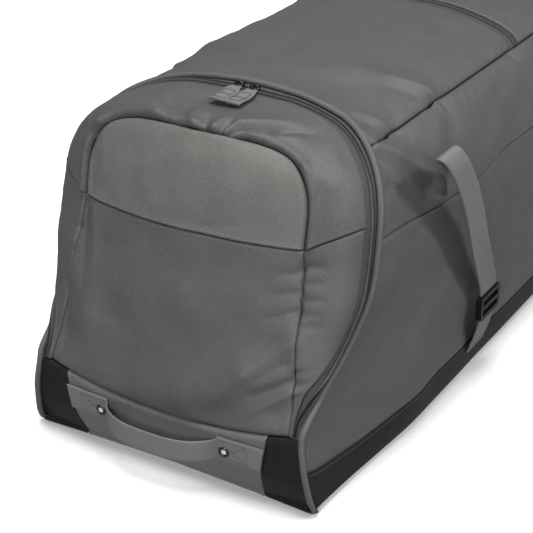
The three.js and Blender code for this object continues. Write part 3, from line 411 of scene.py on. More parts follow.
def crinkle(a, b, seed):
    """Fine sharp creases that come and go over a map."""
    patches = smooth(0.5 + undulation(a, b, CRINKLE_PATCH, seed + 50))
    return -patches * np.sqrt(undulation(a, b, CRINKLE_WAVE, seed + 60) ** 2 + CRINKLE_ROUND)


def arc_lengths(points, axis=0):
    steps = np.linalg.norm(np.diff(points, axis=axis), axis=-1)
    start = np.zeros_like(np.take(steps, [0], axis))
    return np.concatenate([start, np.cumsum(steps, axis)], axis)


def along_line(values, length, places):
    """Values of a line's points at other places along its length."""
    return np.stack([np.interp(places, length, part) for part in values.T], -1)


# The skin of the body
rows = np.array([row[1:] for row in GIRTH], float)
half_knots = np.r_[0, np.cumsum(np.hypot(np.diff(rows[:, 3]), np.diff(rows[:, 4])))]
girth_of = dict(zip([row[0] for row in GIRTH], half_knots))
HALF_GIRTH = half_knots[-1]


def girth_column(values, mirror):
    knots = np.r_[-half_knots[:0:-1], half_knots]
    return column(knots, np.r_[mirror * values[:0:-1], values])


front_x, front_z, front_back, middle_x, middle_z, tail_x, tail_z = (
    girth_column(rows[:, i], -1 if i in (0, 3, 5) else 1) for i in range(7)
)
face_z = [row[0] for row in FACE]
face_back = column(face_z, [row[1] for row in FACE])
face_crown = column(face_z, [row[2] for row in FACE])


def body_point(girth, back):
    into_body = smooth((back - front_back(girth)) / FRONT_BLEND)
    into_tail = smooth((back - BODY_LENGTH + TAIL_BLEND) / TAIL_BLEND)
    x = mix(mix(front_x(girth), middle_x(girth), into_body), tail_x(girth), into_tail)
    z = mix(mix(front_z(girth), middle_z(girth), into_body), tail_z(girth), into_tail)
    fold = fold_height(BODY_FOLDS, girth, back) + CREASE_GAIN * crease_height(BODY_CREASES, girth, back)
    swell = 1 + fold / np.hypot(x, z - CORE_Z)
    return np.stack([x * swell, FRONT_Y + back + 0 * x, CORE_Z + (z - CORE_Z) * swell], -1)


def front_ring(girth):
    return np.stack([front_x(girth), FRONT_Y + front_back(girth), front_z(girth)], -1)


def tail_ring(girth, reach=1, crown=0):
    """The rear edge, or the rear end at a share of the way out to it."""
    x = tail_x(girth) * reach
    z = CORE_Z + (tail_z(girth) - CORE_Z) * reach
    return np.stack([x, FRONT_Y + BODY_LENGTH + crown + 0 * x, z], -1)


# The skin of the door
def smooth_door(girth, rise):
    """The unfolded door: rise runs from 0 at the front ring to 1 at the core."""
    reach = np.maximum(1 - rise**DOOR_ROUNDNESS, 0) ** (1 / DOOR_ROUNDNESS)
    x = front_x(girth) * reach
    z = CORE_Z + (front_z(girth) - CORE_Z) * reach
    face = face_back(z) + face_crown(z) * (x / POCKET_HALF_WIDTH) ** 2
    return np.stack([x, FRONT_Y + mix(front_back(girth), face, rise), z], -1)


def door_point(girth, rise):
    point = smooth_door(girth, rise)
    x, y, z = (point[..., k] for k in range(3))
    y -= rise * (fold_height(DOOR_FOLDS, x, z) + CREASE_GAIN * crease_height(DOOR_CREASES, x, z))
    ahead = (FRONT_Y + SAG_REAR - y) / (SAG_REAR - SAG_FRONT)
    hang = np.sin(np.pi * np.clip(ahead, 0, 1)) * smooth((z - SAG_FOOT_Z) / SAG_FADE)
    z -= SAG_DEPTH * hang * bell((x - SAG_X) / SAG_WIDTH)
    return point


def door_coords(x, z):
    """Girth and rise of the door's face at an X and a height."""
    angle = np.arctan2(z - CORE_Z, np.abs(x))

    def above(girth):
        return np.arctan2(front_z(girth) - CORE_Z, front_x(girth)) > angle

    girth = last_place(0 * angle, HALF_GIRTH + 0 * angle, above, 40)
    ring = np.hypot(front_x(girth), front_z(girth) - CORE_Z)
    reach = np.minimum(np.hypot(x, z - CORE_Z) / ring, 1)
    rise = (1 - reach**DOOR_ROUNDNESS) ** (1 / DOOR_ROUNDNESS)
    return np.where(np.asarray(x) < 0, -girth, girth), rise


def door_at(x, z):
    return door_point(*door_coords(x, z))


def rise_at_distance(girth, distance):
    """Rise of the place this far in from the ring, measured along the unfolded cloth."""
    girth, distance = np.broadcast_arrays(np.asarray(girth, float), distance)
    turns = (np.pi / 2) * np.linspace(0, 1, 161) ** (DOOR_ROUNDNESS / 2)
    rises = np.sin(turns) ** (2 / DOOR_ROUNDNESS)
    walked = arc_lengths(smooth_door(girth[..., None], rises), girth.ndim)
    i = np.clip((walked < distance[..., None]).sum(-1) - 1, 0, len(rises) - 2)
    start, end = (np.take_along_axis(walked, i[..., None] + k, -1)[..., 0] for k in (0, 1))
    return mix(rises[i], rises[i + 1], (distance - start) / (end - start))


def in_from_ring(girth, distance, skin=smooth_door):
    return skin(girth, rise_at_distance(girth, distance))


def cross_seam_z(x):
    return SEAM_MID_Z + SEAM_RISE * (x / POCKET_HALF_WIDTH) ** 2


def strip_seam_z(x):
    return STRIP_MID_Z + STRIP_RISE * (x / STRIP_REACH) ** 2


def across_tape(share, girth):
    """Distance in from the ring of a line of the zipper, from 0 at the piping to 1 at the cloth."""
    taper = smooth((np.abs(girth) - girth_of["mid_side"]) / (girth_of["waist"] - girth_of["mid_side"]))
    start = mix(COIL_START, COIL_FOOT_START, taper)
    width = mix(TAPE_WIDTH, TAPE_FOOT_WIDTH, taper)
    lines = [PIPING_MARGIN + 0 * start, start, start + COIL_WIDTH, width]
    third = np.clip(np.floor(3 * np.asarray(share) + 1e-9), 0, 2).astype(int)
    return mix(np.choose(third, lines[:3]), np.choose(third, lines[1:]), 3 * share - third)


def on_tape(share, girth, skin=smooth_door):
    return in_from_ring(girth, across_tape(share, girth), skin)


def line_foot(share):
    """Girth at which a line of the zipper meets the seam over the strip, right side."""
    share = np.asarray(share, float)

    def above(girth):
        point = on_tape(share, girth)
        return point[..., 2] > strip_seam_z(point[..., 0])

    return last_place(girth_of["mid_side"] + 0 * share, girth_of["band"] + 0 * share, above, 30)


def tape_shown(girth):
    return mix(TAPE_SHOWN_TOP, TAPE_SHOWN_SIDE, smooth((np.abs(girth) - TAPE_TURN) / TAPE_TURN_LENGTH))


def zipper_band(u, across, limit=None):
    """Points of the zipper: u from -1 to 1 along it, one row for each share across it."""
    share = np.asarray(across, float)[:, None]
    girth = line_foot(share) * u[None, :]
    return on_tape(share * limit(girth) if limit else share, girth, door_point)


SEAM_CORNER_GIRTH = float(door_coords(POCKET_HALF_WIDTH, cross_seam_z(POCKET_HALF_WIDTH))[0])
SEAM_END = mix(girth_of["seam"], girth_of["upper"], SEAM_LIFT) + SEAM_END_DROP


# Materials
def set_inputs(tree, node, inputs):
    """Sets a node's inputs to values, or links them to the outputs of other nodes."""
    for socket, value in inputs.items():
        if isinstance(value, bpy.types.NodeSocket):
            tree.links.new(value, node.inputs[socket])
        else:
            node.inputs[socket].default_value = value


def add_node(tree, kind, inputs, **settings):
    """A shader node: gives its outputs."""
    node = tree.nodes.new("ShaderNode" + kind)
    for key, value in settings.items():
        setattr(node, key, value)
    set_inputs(tree, node, inputs)
    return node.outputs


class Look:
    """A node material around one principled shader, with short calls for the nodes that it needs."""

    def __init__(self, name, roughness, metallic=0.0, specular=0.4, sheen=0.0):
        self.material = bpy.data.materials.new(name)
        self.material.use_nodes = True
        self.tree = self.material.node_tree
        self.coords = self.node("TexCoord", {})
        self.shade({"Roughness": roughness, "Metallic": metallic})
        self.shade({"Specular IOR Level": specular, "Sheen Weight": sheen})

    def node(self, kind, inputs, **settings):
        return add_node(self.tree, kind, inputs, **settings)

    def shade(self, inputs):
        set_inputs(self.tree, self.tree.nodes["Principled BSDF"], inputs)

    def threads(self, period, direction):
        """Even ridges with a period in metres."""
        inputs = {"Scale": math.pi / 10 / period, "Vector": self.coords["UV"]}
        return self.node("TexWave", inputs, bands_direction=direction)["Fac"]

    def noise(self, scale, detail=2.0, coords="UV"):
        mapped = self.node("Mapping", {"Scale": scale, "Vector": self.coords[coords]})["Vector"]
        return self.node("TexNoise", {"Scale": 1.0, "Detail": detail, "Vector": mapped})["Fac"]

    def math(self, operation, *values):
        return self.node("Math", dict(enumerate(values)), operation=operation)[0]

    def total(self, *weighted):
        """Sum of outputs, each with its weight."""
        result = 0.0
        for value, weight in weighted:
            result = self.math("MULTIPLY_ADD", value, weight, result)
        return result

    def paint(self, factor, *stops):
        """Base colour from a ramp: places and colours."""
        colour = self.node("ValToRGB", {"Fac": factor})["Color"]
        ramp = colour.node.color_ramp
        for i, (place, tone) in enumerate(stops):
            stop = ramp.elements[i] if i < 2 else ramp.elements.new(place)
            stop.position = place
            stop.color = (*tone, 1)
        self.shade({"Base Color": colour})

    def two_tone(self, factor, low, high, level, contrast, warmth):
        """Base colour from a darker to a paler tone round a level."""
        darker, paler = (tint(level * share, warmth) for share in (1 - contrast, 1 + contrast))
        self.paint(factor, (low, darker), (high, paler))

    def bump(self, height, strength, depth):
        inputs = {"Strength": strength, "Distance": depth, "Height": height}
        self.shade({"Normal": self.node("Bump", inputs)["Normal"]})


NEUTRAL_TINT = (1, 1, 1.02)
CLOTH_TINT = (1, 1, 1.03)
GRAIN_CONTRAST = 0.15
FINE_RELIEF = 0.0004  # depth of a bump map, in metres
RIB_RELIEF = 0.0006
TOOTH_PITCH = 0.0013


def tint(level, warmth=NEUTRAL_TINT):
    return tuple(level * part for part in warmth)


# Each of these gives a finish: a material slot and the material in it
def woven(name, level, contrast, thread, roughness, strength, specular=0.5, warmth=CLOTH_TINT, slot=None):
    """Plain-woven cloth of uneven, two-tone threads."""
    look = Look(name, roughness, specular=specular)
    weave = look.math("MULTIPLY", look.threads(thread, "X"), look.threads(thread, "Y"))
    slubs = look.math("ADD", look.noise((110, 1500, 1)), look.noise((1500, 110, 1)))
    grain = look.noise((650, 650, 1), 3)
    patches = look.noise((30, 30, 30), 3, "Object")
    tone = look.total((slubs, 0.3), (weave, 0.25), (patches, 0.12), (grain, 0.64))
    look.two_tone(tone, 0.5, 0.98, level, contrast, warmth)
    look.bump(look.total((weave, 1), (slubs, 0.6)), strength, FINE_RELIEF)
    return slot or name, look.material


def ribbed(name, level, contrast, rib, direction, roughness, strength, warmth=CLOTH_TINT, slot=None):
    """Webbing, tape or thread with ribs and a finer cross thread."""
    look = Look(name, roughness, specular=0.3, sheen=0.05)
    cross = look.threads(rib * 0.62, "Y" if direction == "X" else "X")
    height = look.total((look.threads(rib, direction), 1), (cross, 0.5))
    tone = look.total((height, 0.35), (look.noise((300, 1200, 1)), 0.6))
    look.two_tone(tone, 0.3, 0.85, level, contrast, warmth)
    look.bump(height, strength, RIB_RELIEF)
    return slot or name, look.material


def moulded(name, level, roughness, grain, strength, metallic=0.0, specular=0.5, slot=None):
    """Plastic, rubber or plated metal with a fine uneven grain."""
    look = Look(name, roughness, metallic, specular)
    speckle = look.noise((grain, grain, grain), 4, "Object")
    look.two_tone(speckle, 0.3, 0.7, level, GRAIN_CONTRAST, NEUTRAL_TINT)
    look.bump(speckle, strength, FINE_RELIEF)
    return slot or name, look.material


def zipper_teeth(name):
    """A reversed zipper: two smooth lips, and a slit between them painted near black as shade."""
    look = Look(name, 0.55)
    across = look.node("SeparateXYZ", {"Vector": look.coords["UV"]})["Y"]
    share = look.math("DIVIDE", look.math("ABSOLUTE", across), COIL_WIDTH / 2 * MM)
    # Painted shade: the middle is painted near black where the slit between the lips lies in shadow
    look.paint(share, (0.42, tint(0.002)), (0.56, tint(0.015)), (0.74, tint(0.07)))
    look.bump(look.threads(TOOTH_PITCH, "X"), 0.5, RIB_RELIEF)
    return name, look.material


GREY = woven("grey_cloth", 0.084, 0.42, 0.0009, 0.6, 0.35, warmth=(0.98, 1, 1.06))
# Painted light: a paler, warmer copy of the grey cloth in the same slot, standing in for the brighter light
# and sheen on the pocket's face and the front strip
GREY_PAINTED_LIGHT = woven("grey_cloth_painted_light", 0.122, 0.42, 0.0009, 0.6, 0.35, warmth=(1, 1, 0.99), slot="grey_cloth")
BLACK = woven("black_cloth", 0.02, 0.22, 0.0008, 0.5, 0.3, specular=0.14, warmth=(1, 1, 1.15))
PIPING = woven("piping_cloth", 0.1, 0.18, 0.0008, 0.8, 0.3)
TAPE = ribbed("zipper_tape", 0.07, 0.3, 0.0013, "Y", 0.8, 0.6, warmth=(1.02, 1, 0.98))
STRAP = ribbed("grey_webbing", 0.165, 0.16, 0.0016, "X", 0.75, 0.5)
PULL = ribbed("pull_cloth", 0.15, 0.12, 0.0014, "Y", 0.75, 0.5)
THREAD = ribbed("sewing_thread", 0.1, 0.2, 0.0006, "X", 0.6, 0.3, slot="zipper_teeth")
DARK_THREAD = ribbed("dark_thread", 0.035, 0.2, 0.0006, "X", 0.6, 0.3, slot="zipper_teeth")
TEETH = zipper_teeth("zipper_teeth")
METAL = moulded("dark_metal", 0.09, 0.32, 900, 0.15, metallic=1.0)
BRIGHT = moulded("eyelet_metal", 0.6, 0.35, 900, 0.1, slot="dark_metal")
PLASTIC = moulded("black_plastic", 0.009, 0.42, 700, 0.2, specular=0.3)
RUBBER = moulded("tyre_rubber", 0.018, 0.75, 500, 0.4, specular=0.3)


# Meshes
def grid_faces(count, columns, around=False):
    last = columns if around else columns - 1
    j, i = np.meshgrid(np.arange(count - 1), np.arange(last), indexing="ij")
    a = (j * columns + i).ravel()
    b = (j * columns + (i + 1) % columns).ravel()
    return np.stack([a, b, b + columns, a + columns], -1).tolist()


def tube_faces(count, columns, ends=True):
    """Faces of a grid that closes on itself across, with its first and last row filled."""
    caps = [list(range(columns))[::-1], list(range((count - 1) * columns, count * columns))]
    return grid_faces(count, columns, around=True) + (caps if ends else [])


def add_object(name, points, faces, uv, finish, node="same", body=BODY):
    """One piece from points in millimetres: it rides on its body and stands for the solid of its name."""
    slot, material = finish
    mesh = bpy.data.meshes.new(name)
    above_floor = np.maximum(np.reshape(points, (-1, 3)), [-np.inf, -np.inf, 0])
    mesh.from_pydata((above_floor * MM).tolist(), [], faces)
    mesh.materials.append(material)
    layer = mesh.uv_layers.new(name="UVMap")
    loops = np.empty(len(mesh.loops), dtype=np.int32)
    mesh.loops.foreach_get("vertex_index", loops)
    layer.data.foreach_set("uv", (np.reshape(uv, (-1, 2))[loops] * MM).ravel())
    mesh.polygons.foreach_set("use_smooth", [True] * len(mesh.polygons))
    mesh.validate()
    piece = bpy.data.objects.new(name, mesh)
    bpy.context.scene.collection.objects.link(piece)
    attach(piece, body)
    if node:
        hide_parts(name if node == "same" else node)
    return piece


def grid_normals(points):
    normals = unit(np.cross(np.gradient(points, axis=1), np.gradient(points, axis=0)))
    facing = np.sum(normals * (points - HEART))
    return normals if facing > 0 else -normals


def even_rows(points, count):
    """Spaces the rows of a dense grid evenly along each column."""
    length = arc_lengths(points) / arc_lengths(points)[-1:]
    places = np.linspace(0, 1, count)
    return np.stack([along_line(points[:, i], length[:, i], places) for i in range(points.shape[1])], 1)


def turn_in(points, normals, drops):
    """Adds a hem that turns the edge of a grid inwards, one ring of points for each drop."""
    for drop in drops:
        points = np.pad(points, ((1, 1), (1, 1), (0, 0)), mode="edge")
        normals = np.pad(normals, ((1, 1), (1, 1), (0, 0)), mode="edge")
        for ring in (np.s_[0, :], np.s_[-1, :], np.s_[1:-1, 0], np.s_[1:-1, -1]):
            points[ring] -= drop * normals[ring]
    return points


def hemmed(name, points, normals, flat, hem, finish):
    """A sheet with its edges turned in, and its places on flat cloth."""
    closed = turn_in(points, normals, hem)
    return add_object(name, closed, grid_faces(*closed.shape[:2]), turn_in(flat, 0 * flat, hem), finish)


# How cloth meets a seam: depth and width of its roll, height and reach of its puckers, then the
# height, place and width of a raised lip, and half the width of the slit
EDGES = {
    "seam": (1.3, 4, 0.15, 14, 0, 0, 1, 0.15),
    "hem": (1.3, 1.2, 0.12, 8, 0.9, 2.0, 1.3, 0.4),
    "flat": (0.9, 2.4, 0.1, 8, 0, 0, 1, 0.3),
    "deep": (3.6, 9, 0.15, 16, 0, 0, 1, 0.5),
    "lip": (3.4, 2.6, 0.4, 14, 3.6, 6.5, 5, 0.8),
    "tuck": (2.6, 6, 0.3, 10, 0, 0, 1, 0),
    "gather": (2.4, 6, 0.4, 20, 0, 0, 1, 0.45),
}
SLIT_FADE = 6
PUCKER_WAVE = 19
CLOTH_WAVE = 90
WAVE_FADE = 24  # how far in from its edges a panel's waves are at full height
HEM = (0.8, 3.2, 8)  # how deep each row of a panel's turned-in edge lies
SHORT_HEM = (0.8, 3.2)
sewn = {}  # outer grid of every panel made, by name


def edge_relief(kind, gap, along, seed):
    depth, width, pucker, reach, lip, lip_place, lip_width, _ = EDGES[kind]
    inside = np.clip(1 - gap / width, 0, 1)
    roll = -depth * (1 - np.sqrt(1 - inside**2))
    waves = pucker * ripple(along, PUCKER_WAVE, seed) * np.exp(-gap / reach) * (1 - inside)
    return roll + lip * bell((gap - lip_place) / lip_width) + waves


def panel(name, points, cloth, edges, wave, seed, extra=None, hem=HEM):
    """A sewn cloth panel. Edges are named for the first and last row, then first and last column."""
    normals = grid_normals(points)
    down, across = arc_lengths(points, 0), arc_lengths(points, 1)
    gaps = (down, down[-1:] - down, across, across[:, -1:] - across)
    waves = undulation(across, down, CLOTH_WAVE, seed) + CRINKLE * crinkle(across, down, seed)
    relief = wave * smooth(np.minimum.reduce(gaps) / WAVE_FADE) * waves
    ahead, aside = (unit(np.gradient(points, axis=axis)) for axis in (0, 1))
    shaped = points.copy()
    for i, (kind, inwards) in enumerate(zip(edges, (ahead, -ahead, aside, -aside))):
        if kind:
            relief = relief + edge_relief(kind, gaps[i], across if i < 2 else down, 10 * seed + i)
            slit = EDGES[kind][-1] * np.clip(1 - gaps[i] / SLIT_FADE, 0, 1)
            shaped += slit[..., None] * inwards
    if extra:
        relief = relief + extra(across, down)
    shaped += relief[..., None] * normals
    sewn[name] = shaped
    piece = hemmed(name, shaped, normals, np.stack([across, down], -1), hem, cloth)
    return piece


def slab(name, top, bottom, finish, bulge):
    """A closed strip of webbing: rows along it, columns across it, and rounded edges."""
    outward = bulge * unit(top[:, -1] - top[:, 0])[:, None]
    right = (top[:, -1:] + bottom[:, -1:]) / 2 + outward
    left = (top[:, :1] + bottom[:, :1]) / 2 - outward
    loop = np.concatenate([top, right, bottom[:, ::-1], left], 1)
    uv = np.stack([arc_lengths(loop, 1), arc_lengths(loop, 0)], -1)
    return add_object(name, loop, tube_faces(*loop.shape[:2]), uv, finish)


def round_line(path, tangent, out, radius, sides):
    """Points round a line: rows along it, and the first column on its out side."""
    angle = np.linspace(0, 2 * np.pi, sides, endpoint=False)[None, :, None]
    turned = np.cos(angle) * out[:, None] + np.sin(angle) * np.cross(tangent, out)[:, None]
    return path[:, None] + np.reshape(radius, (-1, 1, 1)) * turned


def add_cord(name, path, radius, closed=False, sides=12):
    """Piping along a line, closed into a loop or with its ends filled."""
    tangent = unit(np.roll(path, -1, 0) - np.roll(path, 1, 0) if closed else np.gradient(path, axis=0))
    out = (path - [0, 0, CORE_Z]) * [1, 0, 1]
    out = unit(out - np.sum(out * tangent, -1, keepdims=True) * tangent)
    ring = round_line(path, tangent, out, radius, sides)
    if closed:
        ring = np.concatenate([ring, ring[:1]])
    along = arc_lengths(ring)
    around = np.linspace(0, 2 * np.pi * PIPING_RADIUS, sides) + 0 * along
    add_object(name, ring, tube_faces(*along.shape, ends=not closed), np.stack([around, along], -1), PIPING)


def bar(path, radius, sides=8):
    """Points and faces of a round bar along a path, closed at its ends."""
    tangent = unit(np.gradient(path, axis=0))
    helper = np.where(np.abs(tangent[:, :1]) < 0.9, [[1.0, 0, 0]], [[0, 1.0, 0]])
    ring = round_line(path, tangent, unit(np.cross(tangent, helper)), radius, sides)
    return ring.reshape(-1, 3), tube_faces(len(path), sides)


def lathe(profile, segments):
    """Points and faces of a profile of radius and height turned round the third axis."""
    radius, height = np.array(profile, float).T[..., None]
    angle = np.linspace(0, 2 * np.pi, segments, endpoint=False)
    ring = np.stack([radius * np.cos(angle), radius * np.sin(angle), height + 0 * angle], -1)
    return ring.reshape(-1, 3), grid_faces(len(ring), segments, around=True)


def placed(points, origin, along, across, up):
    """Points of a small part, set down in a frame of what carries it."""
    return origin + points[:, :1] * along + points[:, 1:2] * across + points[:, 2:] * up


def join_parts(parts):
    starts = np.cumsum([0] + [len(points) for points, _ in parts])
    faces = [[start + k for k in face] for start, (_, part) in zip(starts.tolist(), parts) for face in part]
    return np.concatenate([points for points, _ in parts]), faces


# Stitching: short rounded threads laid along lines, gathered into one piece
STITCH = [(0.35, -0.5), (1, -0.32), (1, 0.32), (0.35, 0.5)]  # shares of its radius and length
STITCH_SIDES = 5
STITCH_LIFT = 0.15


def stitching(name, paths, thread=THREAD, pitch=4.2, length=3.0, radius=0.42):
    """Each path is a pair of points and outward normals along a sewn line."""
    template = lathe(np.array(STITCH) * (radius, length), STITCH_SIDES)[0][:, [2, 0, 1]]
    template_faces = tube_faces(len(STITCH), STITCH_SIDES)
    parts = []
    for path, normals in paths:
        run = arc_lengths(path)
        places = np.arange(pitch / 2, run[-1], pitch)
        up = unit(along_line(normals, run, places))
        along = unit(along_line(path, run, places + 1) - along_line(path, run, places - 1))
        centres = along_line(path, run, places) + STITCH_LIFT * up
        spots = zip(centres, along, np.cross(up, along), up)
        parts += [(placed(template, *spot), template_faces) for spot in spots]
    points, faces = join_parts(parts)
    add_object(name, points, faces, points[:, :2], thread, node=None)


# Topstitched lines of a panel: edge, in the order of the panel's edges, and how far in from it
TOPSTITCH = {
    "pocket_panel": [(0, 3.4)],
    "door_arch": [(1, 4.6)],
    "door_cheek": [(1, 4.6)],
    "side_upper": [(0, 7), (1, 7), (3, 3.6)],
    "side_lower": [(0, 7), (1, 7)],
    "top_panel": [(0, 7), (1, 4.6)],
    "lid_panel": [(0, 4.6), (1, 7)],
    "base_tray": [(2, 4), (3, 4)],
}
rear_lines = []  # the same for the rear panel, as points and normals


def inset_line(name, edge, inset):
    """Points and outward normals of the line that runs at a distance inside a panel's edge."""
    grid, normals = sewn[name], grid_normals(sewn[name])
    if edge > 1:
        grid, normals = grid.swapaxes(0, 1), normals.swapaxes(0, 1)
    if edge % 2:
        grid, normals = grid[::-1], normals[::-1]
    length = arc_lengths(grid)
    row = np.clip((length < inset).sum(0), 1, len(grid) - 1)
    place = np.arange(grid.shape[1])
    share = ((inset - length[row - 1, place]) / (length[row, place] - length[row - 1, place]))[:, None]
    return mix(grid[row - 1, place], grid[row, place], share)[2:-2], normals[row, place][2:-2]


def build_topstitching():
    lines = []
    for name in sewn:
        kind = name.removesuffix("_right").removesuffix("_left")
        lines += [inset_line(name, edge, inset) for edge, inset in TOPSTITCH.get(kind, [])]
    stitching("topstitching", lines + rear_lines)


# Body panels
def seam_drop(back):
    return SEAM_DROP * (1 - smooth((back - SEAM_DROP_BACK) / SEAM_DROP_LENGTH))


def band_girths():
    """Girth of the band's upper edge at steps along the side."""
    back = np.linspace(BAND_LINE[0][0], BODY_LENGTH, 160)
    height = column(*zip(*BAND_LINE))(back)

    def above(girth):
        return body_point(girth, back)[:, 2] > height

    return back, last_place(girth_of["low_side"] + 0 * back, girth_of["corner_top"] + 0 * back, above, 30)


band_back, band_girth = band_girths()


def band_lift(back):
    return girth_of["band"] - np.interp(back, band_back, band_girth)


def front_edge(girth):
    return front_back(girth) + PANEL_TUCK


def body_grid(girths, start, end, count, drop=None):
    """Rows from front to rear. Drop moves girth lines down the side, by their place and back."""
    nominal = np.asarray(girths)[None, :]
    share = np.linspace(0, 1, count)[:, None]
    girth = nominal + 0 * share
    for _ in range(5 if drop else 0):
        girth = nominal + drop(nominal, mix(start(girth), end, share))
    return body_point(girth, mix(start(girth), end, share))


def build_body():
    shoulder, seam, band = (girth_of[line] for line in ("shoulder", "seam", "band"))

    def lower_seam(girth, back):
        upper = (np.abs(girth) - shoulder) / (seam - shoulder)
        lower = (band - np.abs(girth)) / (band - seam)
        lift = band_lift(back) * np.clip(1 - lower, 0, 1)
        return np.sign(girth) * (seam_drop(back) * np.minimum(upper, lower) - lift)

    for seed, (side, sign) in enumerate(SIDES):
        grid = body_grid(sign * np.linspace(shoulder, seam, 46), front_edge, REAR_EDGE, 250, lower_seam)
        panel(f"side_upper_{side}", grid, GREY, ("tuck", "tuck", "gather", "hem"), 0.7, 3 + seed)
        grid = body_grid(sign * np.linspace(seam, band, 92), front_edge, REAR_EDGE, 270, lower_seam)
        panel(f"side_lower_{side}", grid, GREY, ("tuck", "tuck", "seam", "flat"), 0.9, 5 + seed)
    top = np.linspace(-shoulder, shoulder, 126)
    grid = body_grid(top, front_edge, LID_ZIP_BACK - LID_TAPE_HALF, 140)
    panel("top_panel", grid, GREY, ("tuck", "seam", "gather", "gather"), 0.8, 7)
    grid = body_grid(top, lambda girth: LID_ZIP_BACK + LID_TAPE_HALF + 0 * girth, REAR_EDGE, 84)
    panel("lid_panel", grid, GREY, ("seam", "tuck", "gather", "gather"), 0.8, 8)


WELL_HEM = 16  # how deep cloth is turned in round a wheel housing
WELL_FRONT = (FRONT_Y + HOUSING_CUT_BACK) * MM
WELL_TOP = HOUSING_CUT_TOP * MM
WELL_HALF = HOUSING_HALF * MM
CUT_HALF = 60 * MM  # cuts reach this far to the sides of a wheel, and past the well
CUT_SPARE = 30 * MM
TOUCH = 0.01 * MM


def cut_wheel_wells(piece, drop_side, turn):
    """Opens a panel where the wheel housings stand and turns its cut edges in, by turn along that side."""
    mesh = bmesh.new()
    mesh.from_mesh(piece.data)
    for sign in (1, -1):
        def in_well(place, half, spare, sign=sign):
            beside = abs(sign * place.x - WHEEL_X * MM) < half
            return beside and place.y > WELL_FRONT - spare and place.z < WELL_TOP + spare

        sides = [(0, sign * (WHEEL_X * MM + half)) for half in (-WELL_HALF, WELL_HALF)]
        for axis, place in sides + [(1, WELL_FRONT), (2, WELL_TOP)]:
            if axis == drop_side:
                continue
            normal = [float(axis == k) for k in range(3)]
            near = [face for face in mesh.faces if in_well(face.calc_center_median(), CUT_HALF, CUT_SPARE)]
            edges = dict.fromkeys(edge for face in near for edge in face.edges)
            corners = dict.fromkeys(corner for face in near for corner in face.verts)
            parts = near + list(edges) + list(corners)
            where = [place * value for value in normal]
            bmesh.ops.bisect_plane(mesh, geom=parts, plane_co=where, plane_no=normal, dist=1e-7)
        inside = [face for face in mesh.faces if in_well(face.calc_center_median(), WELL_HALF, 0)]
        bmesh.ops.delete(mesh, geom=inside, context="FACES")
        rim = [
            edge for edge in mesh.edges
            if edge.is_boundary and all(in_well(end.co, WELL_HALF + TOUCH, TOUCH) for end in edge.verts)
        ]
        for edge in rim:
            edge.smooth = False
        for item in bmesh.ops.extrude_edge_only(mesh, edges=rim)["geom"]:
            if isinstance(item, bmesh.types.BMVert):
                item.co[drop_side] += turn * MM
    mesh.to_mesh(piece.data)
    mesh.free()


def build_base():
    band, edge = girth_of["band"], girth_of["base_edge"]
    half = np.r_[np.linspace(band, edge, 16), np.linspace(edge, HALF_GIRTH, 28)[1:]]
    around = np.r_[half, 2 * HALF_GIRTH - half[-2::-1]]
    girth = np.where(around > HALF_GIRTH, around - 2 * HALF_GIRTH, around)

    def raised_band(girth, back):
        share = np.clip((edge - np.abs(girth)) / (edge - band), 0, 1)
        return -np.sign(girth) * band_lift(back) * share

    grid = body_grid(girth, front_edge, REAR_EDGE, 200, raised_band)
    base = panel("base_tray", grid, BLACK, ("tuck", "tuck", "flat", "flat"), 0.0, 9, hem=SHORT_HEM)
    cut_wheel_wells(base, 2, WELL_HEM)


# Shares of the way from the core to the rear edge, for each row of the rear panel
REAR_ROWS = (1, 0.995, 0.985, 0.97, 0.95, 0.92, 0.88, 0.82, 0.74, 0.64, 0.52, 0.4, 0.28, 0.16, 0.05)
REAR_STITCH_ROW = 4
REAR_HEM = 4
REAR_WAVE = 0.8
REAR_WAVE_LENGTH = 120
STITCH_CLEARANCE = 3


def build_rear():
    girth = np.linspace(-HALF_GIRTH, HALF_GIRTH, 241)[:-1]
    share = np.array(REAR_ROWS)[:, None]
    crown = REAR_BULGE * (1 - share**DOOR_ROUNDNESS) ** (1 / DOOR_ROUNDNESS)
    ring = tail_ring(girth, share * (1 - PANEL_TUCK / CORE_Z), crown)
    ring[..., 1] += REAR_WAVE * (1 - share) * undulation(ring[..., 0], ring[..., 2], REAR_WAVE_LENGTH, 21)
    line = ring[REAR_STITCH_ROW]
    by_wheel = np.abs(np.abs(line[:, 0]) - WHEEL_X) < HOUSING_HALF + STITCH_CLEARANCE
    clear = ~(by_wheel & (line[:, 2] < HOUSING_CUT_TOP + STITCH_CLEARANCE))
    for run in np.split(np.arange(len(line)), np.flatnonzero(np.diff(clear)) + 1):
        if clear[run[0]]:
            rear_lines.append((line[run], np.tile([0.0, 1, 0], (len(run), 1))))
    ring = np.concatenate([ring[:1] - [0, REAR_HEM, 0], ring])
    faces = tube_faces(*ring.shape[:2])
    del faces[-2]  # the hem stays open
    rear = add_object("rear_panel", ring, faces, ring[..., [0, 2]], GREY)
    cut_wheel_wells(rear, 1, -WELL_HEM)


# Door panels
POCKET_STRAIGHT = 0.2  # share of the pocket's side that runs straight
POCKET_CORNER = 0.25  # share of its curved edge at the middle of a corner's turn
BORDER_CROWDING = 1.6  # how close together the first rows of a border are
STRIP_FALL = 1.5  # how soon the strip's lines take the run of its foot


def superellipse(share):
    """Edge of the pocket over its two rounded corners, from the left side's top (0) to the right's (1)."""
    angle = np.pi * (1 - share)
    across = np.sign(np.cos(angle)) * np.abs(np.cos(angle)) ** (2 / POCKET_ROUNDNESS)
    up = np.sin(angle) ** (2 / POCKET_ROUNDNESS)
    return POCKET_HALF_WIDTH * across, mix(POCKET_SIDE_TOP, POCKET_TOP, up)


